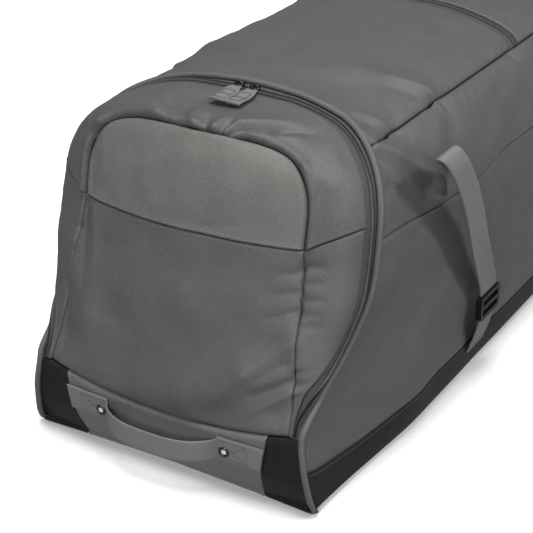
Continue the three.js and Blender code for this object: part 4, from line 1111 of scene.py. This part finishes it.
def pocket_side(share):
    """Right side of the pocket, from the cross seam up to the middle of the corner's turn."""
    low = cross_seam_z(POCKET_HALF_WIDTH)
    turn = np.clip((share - POCKET_STRAIGHT) / (1 - POCKET_STRAIGHT), 0, 1)
    x, z = superellipse(1 - POCKET_CORNER * turn)
    side_z = mix(low, POCKET_SIDE_TOP, share / POCKET_STRAIGHT)
    return x, np.where(share < POCKET_STRAIGHT, side_z, z)


def coons(bottom, top, left, right, columns, count):
    """A patch between four edges in X and Z, each a function of a share from 0 to 1."""
    v, u = shares(count, columns)
    patch = []
    for low, high, first, last in zip(bottom(u), top(u), left(v), right(v)):
        corners = mix(mix(low[:, :1], low[:, -1:], u), mix(high[:, :1], high[:, -1:], u), v)
        patch.append(mix(low, high, v) + mix(first, last, u) - corners)
    return patch


def build_pocket():
    def cross_seam(u):
        x = mix(-POCKET_HALF_WIDTH, POCKET_HALF_WIDTH, u)
        return x, cross_seam_z(x)

    def left_side(v):
        x, z = pocket_side(v)
        return -x, z

    def top(u):
        return superellipse(mix(POCKET_CORNER, 1 - POCKET_CORNER, u))

    x, z = coons(cross_seam, top, left_side, pocket_side, 124, 64)
    # The pocket uses the paler copy of the grey cloth: painted light on its face
    panel("pocket_panel", door_at(x, z), GREY_PAINTED_LIGHT, ("hem", "deep", "deep", "deep"), 0.9, 11)


def build_skirt():
    v, u = shares(92, 136, -1)
    x = u * mix(SKIRT_FOOT_HALF, POCKET_HALF_WIDTH, v)
    z = mix(strip_seam_z(u * SKIRT_FOOT_HALF), cross_seam_z(u * POCKET_HALF_WIDTH), v)
    panel("door_skirt", door_at(x, z), GREY, ("deep", "seam", "seam", "seam"), 1.0, 12)


def border(name, inner, outer_girth, count, seed, edges, extra=None):
    """A panel between a line on the door's face and the zipper tape, its cross lines run straight."""
    girth, rise = inner
    share = np.linspace(0, 1, 90)[:, None] ** BORDER_CROWDING
    tape_edge = rise_at_distance(outer_girth, across_tape(tape_shown(outer_girth), outer_girth))
    rises = mix(rise, tape_edge, share)
    for _ in range(2):
        grid = door_point(mix(girth, outer_girth, share), rises)
        length = arc_lengths(grid)
        share = length / length[-1:]
    panel(name, even_rows(grid, count), GREY, edges, 1.0, seed, extra)


def build_arch():
    x, z = superellipse(np.linspace(0, 1, 900))
    up = np.linspace(cross_seam_z(POCKET_HALF_WIDTH), POCKET_SIDE_TOP, 40)[:-1]
    x = np.r_[0 * up - POCKET_HALF_WIDTH, x, 0 * up + POCKET_HALF_WIDTH]
    z = np.r_[up, z, up[::-1]]
    length = arc_lengths(door_at(x, z))
    places = np.linspace(0, length[-1], 260)
    inner = door_coords(np.interp(places, length, x), np.interp(places, length, z))

    def tucks(across, down):
        return ARCH_GAIN * crease_height(ARCH_CREASES, inner[0] + 0 * down, down)

    outer = inner[0] * (SEAM_END / SEAM_CORNER_GIRTH)
    border("door_arch", inner, outer, 34, 13, ("lip", "hem", "hem", "hem"), tucks)


def build_cheeks():
    u = np.linspace(0, 1, 96)
    x = mix(POCKET_HALF_WIDTH, SKIRT_FOOT_HALF, u)
    z = mix(cross_seam_z(POCKET_HALF_WIDTH), strip_seam_z(SKIRT_FOOT_HALF), u)
    girth, rise = door_coords(x, z)
    outer = mix(SEAM_END, line_foot(TAPE_SHOWN_SIDE), u)
    for seed, (side, sign) in enumerate(SIDES):
        edges = ("seam", "hem", "flat", "seam")
        border(f"door_cheek_{side}", (sign * girth, rise), sign * outer, 24, 14 + seed, edges)


def strip_side(x, foot_x, down):
    """X and Z of the strip below a place of its upper seam, over a place of its foot."""
    girth = door_coords(foot_x, front_z(HALF_GIRTH) + 0 * foot_x)[0]
    foot = in_from_ring(girth, PIPING_MARGIN)
    fall = 1 - (1 - down) ** STRIP_FALL
    return mix(x, foot[..., 0], fall), mix(strip_seam_z(x), foot[..., 2], fall)


def strip_end(down):
    """X and Z of the seam between the strip and a black corner."""
    return strip_side(STRIP_HALF_TOP + 0 * down, STRIP_HALF_FOOT + 0 * down, down)


def corner_top(v):
    """Upper edge of a black corner, under the skirt, the cheek and the zipper, to the piping."""
    first, second, third = (np.clip(3 * v - k, 0, 1) for k in range(3))
    skirt_x = mix(STRIP_HALF_TOP, SKIRT_FOOT_HALF, first)
    tape = on_tape(1 - third, line_foot(1 - third))
    end = on_tape(np.array(1.0), line_foot(1))
    thirds = [v < 1 / 3, v < 2 / 3]
    cheek_z = mix(strip_seam_z(SKIRT_FOOT_HALF), end[2], second)
    x = np.select(thirds, [skirt_x, mix(SKIRT_FOOT_HALF, end[0], second)], tape[..., 0])
    return x, np.select(thirds, [strip_seam_z(skirt_x), cheek_z], tape[..., 2])


ROLL_RADIUS = 3.6  # the foot's roll round the front edge, and how far it turns
ROLL_TURN = math.radians(-100)
ROLL_END_X = 203  # X at which it is gone, and over how much it fades
ROLL_FADE = 12


def rolled_under(foot):
    """Rows that carry a panel's foot round the front edge and under it, clear of the outer corner."""
    centre = front_ring(door_coords(foot[:, 0], foot[:, 2])[0])
    arm = foot - centre
    start = np.arctan2(arm[:, 2], -arm[:, 1])
    reach = np.hypot(arm[:, 1], arm[:, 2])
    share = smooth((ROLL_END_X - np.abs(foot[:, 0])) / ROLL_FADE)
    rolled = []
    for step in np.linspace(0, 1, 11)[1:]:
        turn = mix(start, ROLL_TURN, step * share)
        radius = mix(reach, ROLL_RADIUS, smooth(2 * step) * share)
        y, z = centre[:, 1] - radius * np.cos(turn), centre[:, 2] + radius * np.sin(turn)
        rolled.append(np.stack([mix(foot[:, 0], centre[:, 0], step), y, z], -1))
    return np.array(rolled)


def build_strip():
    v, u = shares(42, 118, -1)
    grid = door_at(*strip_side(u * STRIP_HALF_TOP, u * STRIP_HALF_FOOT, v))
    grid = np.concatenate([grid, rolled_under(grid[-1])])
    # The strip uses the paler copy of the grey cloth: painted light on it
    panel("front_strip", grid, GREY_PAINTED_LIGHT, ("deep", None, "hem", "hem"), 0.3, 16, hem=SHORT_HEM)

    foot = door_coords(STRIP_HALF_FOOT, front_z(HALF_GIRTH))[0]
    corner, head = girth_of["corner"], line_foot(0)

    def ring_edge(low, high):
        def edge(share):
            point = in_from_ring(mix(low, high, share), PIPING_MARGIN - PANEL_TUCK)
            return point[..., 0], point[..., 2]
        return edge

    x, z = coons(
        ring_edge(foot, corner), corner_top, lambda v: strip_end(1 - v), ring_edge(corner, head), 40, 50,
    )
    for side, sign in SIDES:
        grid = door_at(sign * x, z)
        grid = np.concatenate([rolled_under(grid[0])[::-1], grid])
        panel(f"front_corner_{side}", grid, BLACK, (None, "deep", "seam", "tuck"), 0.3, 17, hem=SHORT_HEM)


# Piping round both ends
PIPING_REST = 6  # height from which the piping swells, and over how much
PIPING_RISE = 20
REAR_FOOT_Z = 12  # piping below this stops at the wheels


def build_piping():
    girth = np.linspace(-HALF_GIRTH, HALF_GIRTH, 361)[:-1]
    ring = front_ring(girth)
    swell = mix(PIPING_RADIUS, PIPING_FULLNESS, smooth((ring[:, 2] - PIPING_REST) / PIPING_RISE))
    add_cord("front_piping", ring, swell, closed=True)
    ring = tail_ring(girth)
    upper = ring[(ring[:, 2] >= REAR_FOOT_Z) | (np.abs(ring[:, 0]) >= WHEEL_X + HOUSING_HALF)]
    start = int(np.argmax(np.linalg.norm(np.roll(upper, -1, 0) - upper, axis=1))) + 1
    add_cord("rear_piping", np.roll(upper, -start, 0), PIPING_RADIUS)
    foot = tail_ring(np.full(60, HALF_GIRTH))
    foot[:, 0] = np.linspace(HOUSING_HALF - WHEEL_X, WHEEL_X - HOUSING_HALF, len(foot))
    add_cord("rear_piping_foot", foot, PIPING_RADIUS)


# Zippers
LIP_PLACE = 0.72  # middle and half width of a lip, as shares of half the zipper
LIP_HALF = 0.27
LIP_LIFT = 0.3
LIP_HEM = (1.2,)
TAPE_SINK = 1.3  # how deep the tape lies below the cloth beside it
TAPE_REACH = (-0.04, 1.03)  # shares across the door's tape that its edges run to, under the cloth


def add_zipper(name, tape, edges, seed, coil):
    """A sunk tape, and the teeth as a low double ridge: rows across the zipper, columns along it."""
    panel(f"{name}_zipper_tape", tape, TAPE, edges, 0.1, seed, lambda across, down: -TAPE_SINK)
    normals = grid_normals(coil)
    across = np.linspace(-1, 1, len(coil))[:, None]
    lip = np.clip(1 - ((np.abs(across) - LIP_PLACE) / LIP_HALF) ** 2, 0, 1)
    raised = coil + (LIP_LIFT + COIL_HEIGHT * np.sqrt(lip))[..., None] * normals
    along = arc_lengths(coil, 1)
    flat = np.stack([along, across * COIL_WIDTH / 2 + 0 * along], -1)
    hemmed(f"{name}_zipper_coil", raised, normals, flat, LIP_HEM, TEETH)


def build_zippers():
    u = np.linspace(-1, 1, 420)
    tape = zipper_band(u, np.linspace(*TAPE_REACH, 24), tape_shown)
    coil = zipper_band(u, np.linspace(1 / 3, 2 / 3, 15))
    add_zipper("door", tape, ("tuck", "tuck", None, None), 41, coil)

    def lid_band(half, count):
        girth = np.linspace(-girth_of["shoulder"], girth_of["shoulder"], 140)[None, :]
        back = LID_ZIP_BACK + np.linspace(-half, half, count)[:, None]
        return body_point(girth + 0 * back, back + 0 * girth)

    coil = lid_band(COIL_WIDTH / 2, 15)
    add_zipper("lid", lid_band(LID_TAPE_HALF, 16), ("tuck", "tuck", "seam", "seam"), 42, coil)


def surface_frame(surface, u, v, step):
    """Points, direction along u, across it, and outward normals of a surface."""
    point, u_more, u_less, v_more, v_less = (
        surface(np.asarray(u + du, float), np.asarray(v + dv, float))
        for du, dv in ((0, 0), (step, 0), (-step, 0), (0, step), (0, -step))
    )
    along = unit(u_more - u_less)
    up = unit(np.cross(along, v_more - v_less))
    up = up * np.sign(np.sum(up * (point - HEART), -1, keepdims=True))
    return point, along, np.cross(up, along), up


def rounded_block(size, rounding):
    """Points and faces of a block with rounded edges, centred on its base."""
    mesh = bmesh.new()
    bmesh.ops.create_cube(mesh, size=1.0)
    for vertex in mesh.verts:
        vertex.co = [part * side for part, side in zip((vertex.co.x, vertex.co.y, vertex.co.z + 0.5), size)]
    bmesh.ops.bevel(mesh, geom=mesh.edges[:], offset=rounding, segments=3, profile=0.5, affect="EDGES")
    mesh.verts.index_update()
    points = np.array([vertex.co[:] for vertex in mesh.verts])
    faces = [[vertex.index for vertex in face.verts] for face in mesh.faces]
    mesh.free()
    return points, faces


SLIDER_SIZE = (13, 9, 3.2)
SLIDER_ROUNDING = 1.1
SLIDER_WEDGE = 0.25  # how much narrower its one end is, and half the length of the wedge
WEDGE_HALF = 6
SLIDER_LIFT = 2.6
BRIDGE = (5, 2.6, 2, 1.1)  # the bridge's half length, foot, rise and radius
RING = (3.4, 3.6, 3.6, 0.3, 0.8)  # the ring's half width, half length, height, tilt and radius
PULL_START = 5  # from the zipper's middle to the pull


def add_slider(name, spot, sign):
    """A zipper slider: a wedge body, the bridge over it and the ring that holds the pull."""
    body, body_faces = rounded_block(SLIDER_SIZE, SLIDER_ROUNDING)
    body[:, 1] *= 1 - SLIDER_WEDGE * smooth((sign * body[:, 0] + WEDGE_HALF) / (2 * WEDGE_HALF))
    half, foot, rise, radius = BRIDGE
    turn = np.linspace(0, np.pi, 9)
    bridge = bar(np.stack([half * np.cos(turn), 0 * turn, foot + rise * np.sin(turn)], -1), radius)
    wide, long, height, tilt, radius = RING
    turn = np.linspace(0, 2 * np.pi, 17)
    hoop = np.stack([wide * np.sin(turn), long * (np.cos(turn) - 1), height - tilt * np.cos(turn)], -1)
    points, faces = join_parts([(body, body_faces), bridge, bar(hoop, radius)])
    world = placed(points, *spot)
    add_object(name, world, faces, world[:, :2], METAL)


PULL_ROWS = 40
PULL_SEAMS = (0.3, 0.6, 0.88)  # places of its cross seams, as shares of its length
PULL_SEAM_WIDTH = 0.03
PULL_SEAM_DEPTH = 0.22  # as a share of its thickness
PULL_NECK = 0.62  # share of its width where it hangs on the ring, and where it is full
PULL_SHOULDER = 0.34
PULL_TIP = 0.06  # share of its length in the rounded tip, and how much narrower that gets
PULL_TIP_TAPER = 0.12
PULL_BOW = 0.9  # how far its middle bows up, and the height and length of its waves
PULL_RIPPLE = 0.5
PULL_WAVE = 34
PULL_STAND = 2.0  # how far the free end stands off the cloth, and from where
PULL_STAND_START = 0.3
PULL_SWELL = 1.25  # share of the thickness it swells to, and the crown over its middle
PULL_CROWN = 0.15
PULL_CROWN_SPREAD = 1.4
PULL_EDGE = 0.7


def add_pull(name, surface, middle, start):
    """A stitched cloth tab that lies on the cloth below its slider: gives the lines of its stitches."""
    v, u = shares(PULL_ROWS, 9, -1)
    tip = 1 - PULL_TIP_TAPER * np.clip((v - 1) / PULL_TIP + 1, 0, 1) ** 2
    taper = mix(PULL_NECK, 1, smooth(v / PULL_SHOULDER)) * tip
    grid = surface(middle + u * taper * PULL_WIDTH / 2, start + PULL_LENGTH * v + 0 * u)
    normals = grid_normals(grid)
    waves = PULL_RIPPLE * ripple(v * PULL_LENGTH, PULL_WAVE, len(name))
    stand = PULL_STAND * smooth((v - PULL_STAND_START) / (1 - PULL_STAND_START))
    lift = CLOTH + REST_GAP + PULL_BOW * np.sin(np.pi * v) + waves + stand
    seams = sum(bell((v - seam) / PULL_SEAM_WIDTH) for seam in PULL_SEAMS)
    swell = PULL_SWELL + PULL_CROWN * np.cos(np.pi * u / PULL_CROWN_SPREAD) - PULL_SEAM_DEPTH * seams
    top = grid + (lift + PULL_THICKNESS * swell)[..., None] * normals
    slab(name, top, grid + lift[..., None] * normals, PULL, PULL_EDGE)
    seam_rows = [round(seam * (PULL_ROWS - 1)) for seam in PULL_SEAMS]
    length = slice(seam_rows[0], seam_rows[-1] + 1)
    lines = [np.s_[row, 1:-1] for row in seam_rows] + [np.s_[length, 1], np.s_[length, -2]]
    return [(top[line], normals[line]) for line in lines]


def build_sliders():
    def on_door(girth, distance):
        return in_from_ring(girth, distance, door_point)

    zippers = (("zip", on_door, COIL_START + COIL_WIDTH / 2, 1), ("lid", body_point, LID_ZIP_BACK, -1))
    seams = []
    for side, sign in SIDES:
        place = SLIDER_MIDDLE + sign * SLIDER_OFFSET
        for zipper, surface, middle, facing in zippers:
            point, along, across, up = surface_frame(surface, place, middle, 2)
            across = across * facing * np.sign(across[1])
            add_slider(f"{zipper}_slider_{side}", (point + SLIDER_LIFT * up, along, across, up), sign)
            seams += add_pull(f"{zipper}_pull_{side}", surface, place, middle + PULL_START)
    stitching("pull_stitching", seams, DARK_THREAD, 2.4, 2.1)


# Grab handle
HANDLE_FLAT_HALF = 15.6  # half width where it is sewn flat, and of the grip
HANDLE_GRIP_HALF_WIDTH = 13.6
HANDLE_GRIP_DROP = 1.4
FLAT_LEAD = 1  # how far before the grip's end the webbing flattens, and over how much
FLAT_BLEND = 4
BOX_NEAR = 80.5  # stitched box at each end: its X, and half its height
BOX_FAR = 118
BOX_HALF = 12
BOX_LINES = ((0, 1), (1, 2), (2, 3), (3, 0), (0, 2), (1, 3))
EYELET_ROLL = (5.2, 1.7)  # radius of an eyelet's ring, and of the ring's own section
EYELET_PAST = 0.2  # radians that the section runs past half a turn
EYELET_LIFT = 0.2
EYELET_DOME = [(3.7, 0.3), (3.2, 0.9), (2.3, 1.2), (1.1, 1.4), (0.02, 1.45)]


def on_webbing(x, z):
    """Points and outward normals of the webbing where it is sewn flat."""
    point, _, _, up = surface_frame(door_at, x, z, 1)
    return point + (CURVED_GAP + WEBBING) * up, up


def add_eyelet(name, point, up):
    """A dark rolled ring with a bright domed tube in its middle."""
    along = unit(np.cross(up, [0, 0, 1.0]))
    turn = np.linspace(-EYELET_PAST, np.pi + EYELET_PAST, 9)
    radius, section = EYELET_ROLL
    roll = np.stack([radius - section * np.cos(turn), EYELET_LIFT + section * np.sin(turn)], -1)
    for tag, profile, finish in (("", roll, METAL), ("_tube", EYELET_DOME, BRIGHT)):
        points, faces = lathe(profile, 28)
        world = placed(points, point, along, np.cross(up, along), up)
        add_object(name + tag, world, faces, world[:, :2], finish, name)


def build_handle():
    half = np.r_[
        HANDLE_GRIP_HALF * np.sin(np.linspace(0, np.pi / 2, 70)),
        np.linspace(HANDLE_GRIP_HALF, HANDLE_HALF, 46)[1:],
    ]
    nominal = np.r_[-half[:0:-1], half][:, None]
    flat = smooth((np.abs(nominal) - HANDLE_GRIP_HALF + FLAT_LEAD) / FLAT_BLEND)
    share = np.linspace(-1, 1, 11)[None, :]
    middle = HANDLE_Z - HANDLE_GRIP_DROP * (1 - flat)
    z = middle + share * mix(HANDLE_GRIP_HALF_WIDTH, HANDLE_FLAT_HALF, flat)
    end_x, end_z = strip_end(np.linspace(0, 1, 60))
    stretch = (np.interp(z, end_z[::-1], end_x[::-1]) - HANDLE_GRIP_HALF) / (HANDLE_HALF - HANDLE_GRIP_HALF)
    past = np.maximum(np.abs(nominal) - HANDLE_GRIP_HALF, 0)
    x = np.sign(nominal) * (np.minimum(np.abs(nominal), HANDLE_GRIP_HALF) + past * stretch)
    grid = door_at(x, z)
    inside = np.maximum(0, 1 - (np.abs(x) / HANDLE_GRIP_HALF) ** HANDLE_TURN) ** HANDLE_ARCH
    grid[..., 1] = mix(grid[..., 1], FRONT_Y + HANDLE_TIP_BACK + WEBBING + CURVED_GAP, inside)
    normals = grid_normals(grid)
    low = grid + CURVED_GAP * normals
    slab("grab_handle", low + WEBBING * normals, low, STRAP, WEBBING / 3)

    low, high = HANDLE_Z - BOX_HALF, HANDLE_Z + BOX_HALF
    box = np.array([(BOX_NEAR, low), (BOX_NEAR, high), (BOX_FAR, high), (BOX_FAR, low)])
    seams = []
    for side, sign in SIDES:
        for a, b in BOX_LINES:
            x, z = mix(box[a], box[b], np.linspace(0, 1, 16)[:, None]).T
            seams.append(on_webbing(sign * x, z))
        add_eyelet(f"handle_rivet_{side}", *on_webbing(sign * RIVET_X, RIVET_Z))
    stitching("handle_stitching", seams, THREAD, 3.2, 2.6, 0.36)


# Haul straps
CATMULL_SPANS = (((0, 1), (1, 2), (2, 3)), ((0, 2), (1, 3)), ((1, 2),))
STRAP_CUP = 5.5  # how deep a loose strap curls across its width
CUP_LEVEL = 0.4  # share of the curl that lies below the strap's middle line
CUP_START = 0.6  # shares of its length where the curl sets in, over how much, and ends
CUP_BLEND = 0.25
CUP_END = 0.08
ANCHOR_STITCH_ROWS = (-4, -9)


def catmull(points, count):
    """A centripetal curve through points, evenly spaced."""
    points = np.asarray(points, float)
    points = np.concatenate([2 * points[:1] - points[1:2], points, 2 * points[-1:] - points[-2:-1]])
    dense = []
    for i in range(len(points) - 3):
        row = points[i:i + 4]
        knots = np.r_[0, np.cumsum(np.linalg.norm(np.diff(row, axis=0), axis=1) ** 0.5)]
        t = np.linspace(knots[1], knots[2], 60)[:-1, None]
        for spans in CATMULL_SPANS:
            ends = zip(row, row[1:], spans)
            row = [mix(p, q, (t - knots[a]) / (knots[b] - knots[a])) for p, q, (a, b) in ends]
        dense.append(row[0])
    dense = np.concatenate(dense + [points[-2:-1]])
    length = arc_lengths(dense)
    return along_line(dense, length, np.linspace(0, length[-1], count))


def ribbon(name, path, sign, count, cup):
    """Webbing along a path, its width held close to the bag's length and its ends cut level."""
    centres = catmull([(sign * x, FRONT_Y + back, z) for x, back, z in path], count)
    sideways = np.array([0.0, 1, 0])
    normal = unit(np.cross(unit(np.gradient(centres, axis=0)), sideways))[:, None]
    share = np.linspace(-1, 1, 11)[None, :, None]
    curl = cup(np.linspace(0, 1, count))[:, None, None] * (share**2 - CUP_LEVEL)
    sheet = centres[:, None] + share * STRAP_WIDTH / 2 * sideways + curl * normal
    top = sheet + WEBBING / 2 * normal
    bottom = sheet - WEBBING / 2 * normal
    slab(name, top, bottom, STRAP, WEBBING / 3)
    return top, bottom, normal + 0 * top


def build_straps():
    seams = []
    head = (*BUCKLE_CENTRE[:2], BUCKLE_CENTRE[2] - BUCKLE_HEIGHT / 2 - REST_GAP)
    for side, sign in SIDES:
        def loose(place, sign=sign):
            return sign * STRAP_CUP * smooth((place - CUP_START) / CUP_BLEND) * smooth((1 - place) / CUP_END)

        ribbon(f"haul_strap_{side}", STRAP_PATHS[side], sign, 220, loose)
        path = [head, ANCHOR_BEND, ANCHOR_FOOT]
        top, bottom, up = ribbon(f"strap_anchor_{side}", path, sign, 50, lambda place: 0 * place)
        if abs(top[-1, 5, 0]) < abs(bottom[-1, 5, 0]):
            top, up = bottom, -up
        seams += [(top[row, 1:-1], up[row, 1:-1]) for row in ANCHOR_STITCH_ROWS]
    stitching("strap_stitching", seams)


# Wheels
WHEEL_RADIUS = 38
WHEEL_HALF = 15
WHEEL_Z = 38.8
HUB_RADIUS = 28.6
BORE_RADIUS = 5.5
SPOKES = 6
SPOKE_RECESS = (5.5, 0.8)  # depth of the hub's face between its spokes, and on them
SPOKE_WAVE = (2.2, 0.3)  # steepness and level of a spoke's flanks
WEB_INNER = (10, 2.4)  # radii between which the hub is recessed, each with its blend
WEB_OUTER = (25.4, 1.6)
SIPES = 24
SIPE_WAVE = (4, -2.4)
SIPE_DEPTH = 1.1
SIPE_START = (6.6, 1.5)  # from the tyre's middle, with its blend
TREAD_START = (33, 2)  # radius
# Half the tyre's outline, side to middle: radius, across
TYRE = [
    (29, 15), (33, 15), (34.8, 14.5), (36.5, 13), (37.6, 11.2), (38, 9.4), (38, 6.4),
    (37.8, 6.1), (36.9, 5.9), (36.9, 4.3), (37.8, 4.1), (38, 3.8), (38, 0),
]
wheel_turns = np.linspace(0, 2 * np.pi, 144, endpoint=False)[None, :]


def add_turned(name, side, sign, radius, across, finish):
    """A piece of a wheel from a closed outline turned round the axle: rows along the outline."""
    radius, across = (np.concatenate([grid, grid[:1]]) for grid in np.broadcast_arrays(radius, across))
    y = FRONT_Y + WHEEL_TAIL_BACK - WHEEL_RADIUS + radius * np.cos(wheel_turns)
    points = np.stack([sign * WHEEL_X + across, y, WHEEL_Z + radius * np.sin(wheel_turns)], -1)
    uv = np.stack([wheel_turns * WHEEL_RADIUS + 0 * radius, arc_lengths(points)], -1)
    faces = grid_faces(*radius.shape, around=True)
    add_object(f"{name}_{side}", points, faces, uv, finish, body=f"wheel_{side}")


def beyond(start, place):
    """Share of the way past a start, over its blend."""
    edge, blend = start
    return smooth((place - edge) / blend)


def flutes(count, wave):
    """Even ridges round the wheel, from 0 to 1."""
    steepness, level = wave
    return smooth(steepness * np.cos(count * wheel_turns) + level)


def build_wheels():
    half = np.array(TYRE)
    outline = np.concatenate([half, half[-2::-1] * [1, -1]])
    rim, across = outline[:, :1], outline[:, 1:]
    sipe = flutes(SIPES, SIPE_WAVE) * beyond(SIPE_START, np.abs(across))
    tyre = rim - SIPE_DEPTH * sipe * beyond(TREAD_START, rim)

    face = np.linspace(BORE_RADIUS, HUB_RADIUS, 40)[:, None]
    outer, blend = WEB_OUTER
    web = beyond(WEB_INNER, face) * smooth((outer - face) / blend)
    recess = web * mix(*SPOKE_RECESS, flutes(SPOKES, SPOKE_WAVE))
    hub = np.concatenate([face, face[::-1]])
    hub_across = np.concatenate([recess - WHEEL_HALF, (WHEEL_HALF - recess)[::-1]])
    for side, sign in SIDES:
        add_turned("wheel_tyre", side, sign, tyre, across, RUBBER)
        add_turned("wheel_hub", side, sign, hub, hub_across, PLASTIC)


# Hard pieces that keep their solids, and how far their edges are rounded
ROUNDED_EDGES = (("strap_buckle", 1.4), ("wheel_housing", 1.0))
SHARP_ANGLE = math.radians(35)


def dress_hard_pieces():
    for side, _ in SIDES:
        for name, width in ROUNDED_EDGES:
            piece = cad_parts[f"{name}_{side}"]
            piece.data.materials.clear()
            piece.data.materials.append(PLASTIC[1])
            bevel = piece.modifiers.new("edge", "BEVEL")
            bevel.width = width * MM
            bevel.segments = 3
            bevel.limit_method = "ANGLE"
            bevel.angle_limit = SHARP_ANGLE


# Camera, floor and light, in metres
CAMERA_PLACE = (0.845, -1.581, 0.997)
CAMERA_TURN = (math.radians(90 - 26.63), 0, math.radians(31.05))
CAMERA_LENS = 97.13
WHITE = (1, 1, 1, 1)
FLOOR_REACH = 14.0
# The floor's own light by its distance from the middle, so that it is white at the horizon
FLOOR_GLOW = {"From Min": 1.1, "From Max": 3.2, "To Min": 0.15, "To Max": 1.0}
CONTACT_SHADE = 0.08  # how far the bag's soft contact shadow, painted into the floor's colour, reaches over the floor
CONTACT_TONES = ((0.4, 0.42), (0.92, 0.95))  # share of open sky, and the floor's tone there: darker tones are painted contact shadow
SWEEP_RADIUS = 6.5  # of the white wall round the floor, seen by the camera only
SWEEP_HEIGHT = 6
SKY_BELOW = (0.475, 0.49, 0.5, 1)
SKY_ABOVE = (0.1204, 0.1302, 0.14, 1)
SKY_BLEND = 0.15
LIGHT_COLOUR = (1.0, 0.985, 0.94)
LIGHT_AIM = np.array([0, -0.1, 0.2])
# Place, size, power, and whether it shows in reflections
LIGHTS = {
    "overhead": ((0.2, -0.9, 3.7), 1.5, 110, True),
    "front_right": ((1.7, -3.7, 1.9), 1.0, 105, True),
    "back_right": ((3.6, 1.2, 3.3), 0.8, 110, True),
    "rear_left": ((-2.8, 3.4, 0.9), 2.0, 60, False),
}


def studio_sky():
    """A dim room above and the bright sweep below, blended at the horizon."""
    world = bpy.data.worlds.new("studio")
    world.use_nodes = True
    tree = world.node_tree
    direction = add_node(tree, "TexCoord", {})["Generated"]
    height = add_node(tree, "SeparateXYZ", {"Vector": direction})["Z"]
    span = {"From Min": -SKY_BLEND, "From Max": SKY_BLEND}
    share = add_node(tree, "MapRange", {"Value": height, **span})["Result"]
    colour = add_node(tree, "Mix", {"Factor": share, 6: SKY_BELOW, 7: SKY_ABOVE}, data_type="RGBA")[2]
    set_inputs(tree, tree.nodes["Background"], {"Color": colour, "Strength": 1.0})
    return world


def add_stage(name, points, faces, look, unseen):
    """A mesh of the studio that some kinds of rays don't see."""
    mesh = bpy.data.meshes.new(name)
    mesh.from_pydata(points, [], faces)
    mesh.materials.append(look.material)
    thing = bpy.data.objects.new(name, mesh)
    for rays in unseen:
        setattr(thing, f"visible_{rays}", False)
    bpy.context.scene.collection.objects.link(thing)


def build_floor():
    pale = Look("floor_paint", 0.9, specular=0.1)
    # Painted shadow: the floor's colour darkens where the bag hides the sky, a soft contact shadow painted
    # into the floor
    shade = pale.node("AmbientOcclusion", {"Distance": CONTACT_SHADE}, samples=16)["AO"]
    pale.paint(shade, *((place, tint(tone)) for place, tone in CONTACT_TONES))
    far = pale.node("VectorMath", {0: pale.coords["Object"]}, operation="LENGTH")["Value"]
    glow = pale.node("MapRange", {"Value": far, **FLOOR_GLOW})["Result"]
    pale.shade({"Emission Color": WHITE, "Emission Strength": glow})
    corners = [(x * FLOOR_REACH, y * FLOOR_REACH, 0) for x, y in ((-1, -1), (1, -1), (1, 1), (-1, 1))]
    add_stage("floor", corners, [(0, 1, 2, 3)], pale, ("diffuse", "glossy"))

    white = Look("sweep_paint", 0.9, specular=0)
    white.shade({"Emission Color": WHITE, "Emission Strength": 1.0})
    wall, faces = lathe([(SWEEP_RADIUS, -0.01), (SWEEP_RADIUS, SWEEP_HEIGHT)], 48)
    add_stage("sweep", wall.tolist(), faces, white, ("diffuse", "glossy", "shadow", "transmission"))


def build_stage():
    scene = bpy.context.scene
    camera = bpy.data.objects.new("camera", bpy.data.cameras.new("camera"))
    camera.data.lens = CAMERA_LENS
    camera.location = CAMERA_PLACE
    camera.rotation_euler = CAMERA_TURN
    scene.collection.objects.link(camera)
    scene.camera = camera
    for name, (place, size, power, shines) in LIGHTS.items():
        lamp = bpy.data.lights.new(name, "AREA")
        lamp.color = LIGHT_COLOUR
        lamp.size = size
        lamp.energy = power
        spot = bpy.data.objects.new(name, lamp)
        spot.location = place
        spot.visible_glossy = shines
        x, y, z = LIGHT_AIM - place
        spot.rotation_euler = (math.atan2(math.hypot(x, y), -z), 0, math.atan2(-x, y))
        scene.collection.objects.link(spot)
    scene.world = studio_sky()
    scene.view_settings.view_transform = "Standard"
    scene.view_settings.look = "Medium High Contrast"


build_stage()
build_floor()
build_body()
build_base()
build_rear()
build_pocket()
build_skirt()
build_arch()
build_cheeks()
build_strip()
build_piping()
build_zippers()
build_sliders()
build_handle()
build_straps()
build_topstitching()
build_wheels()
dress_hard_pieces()
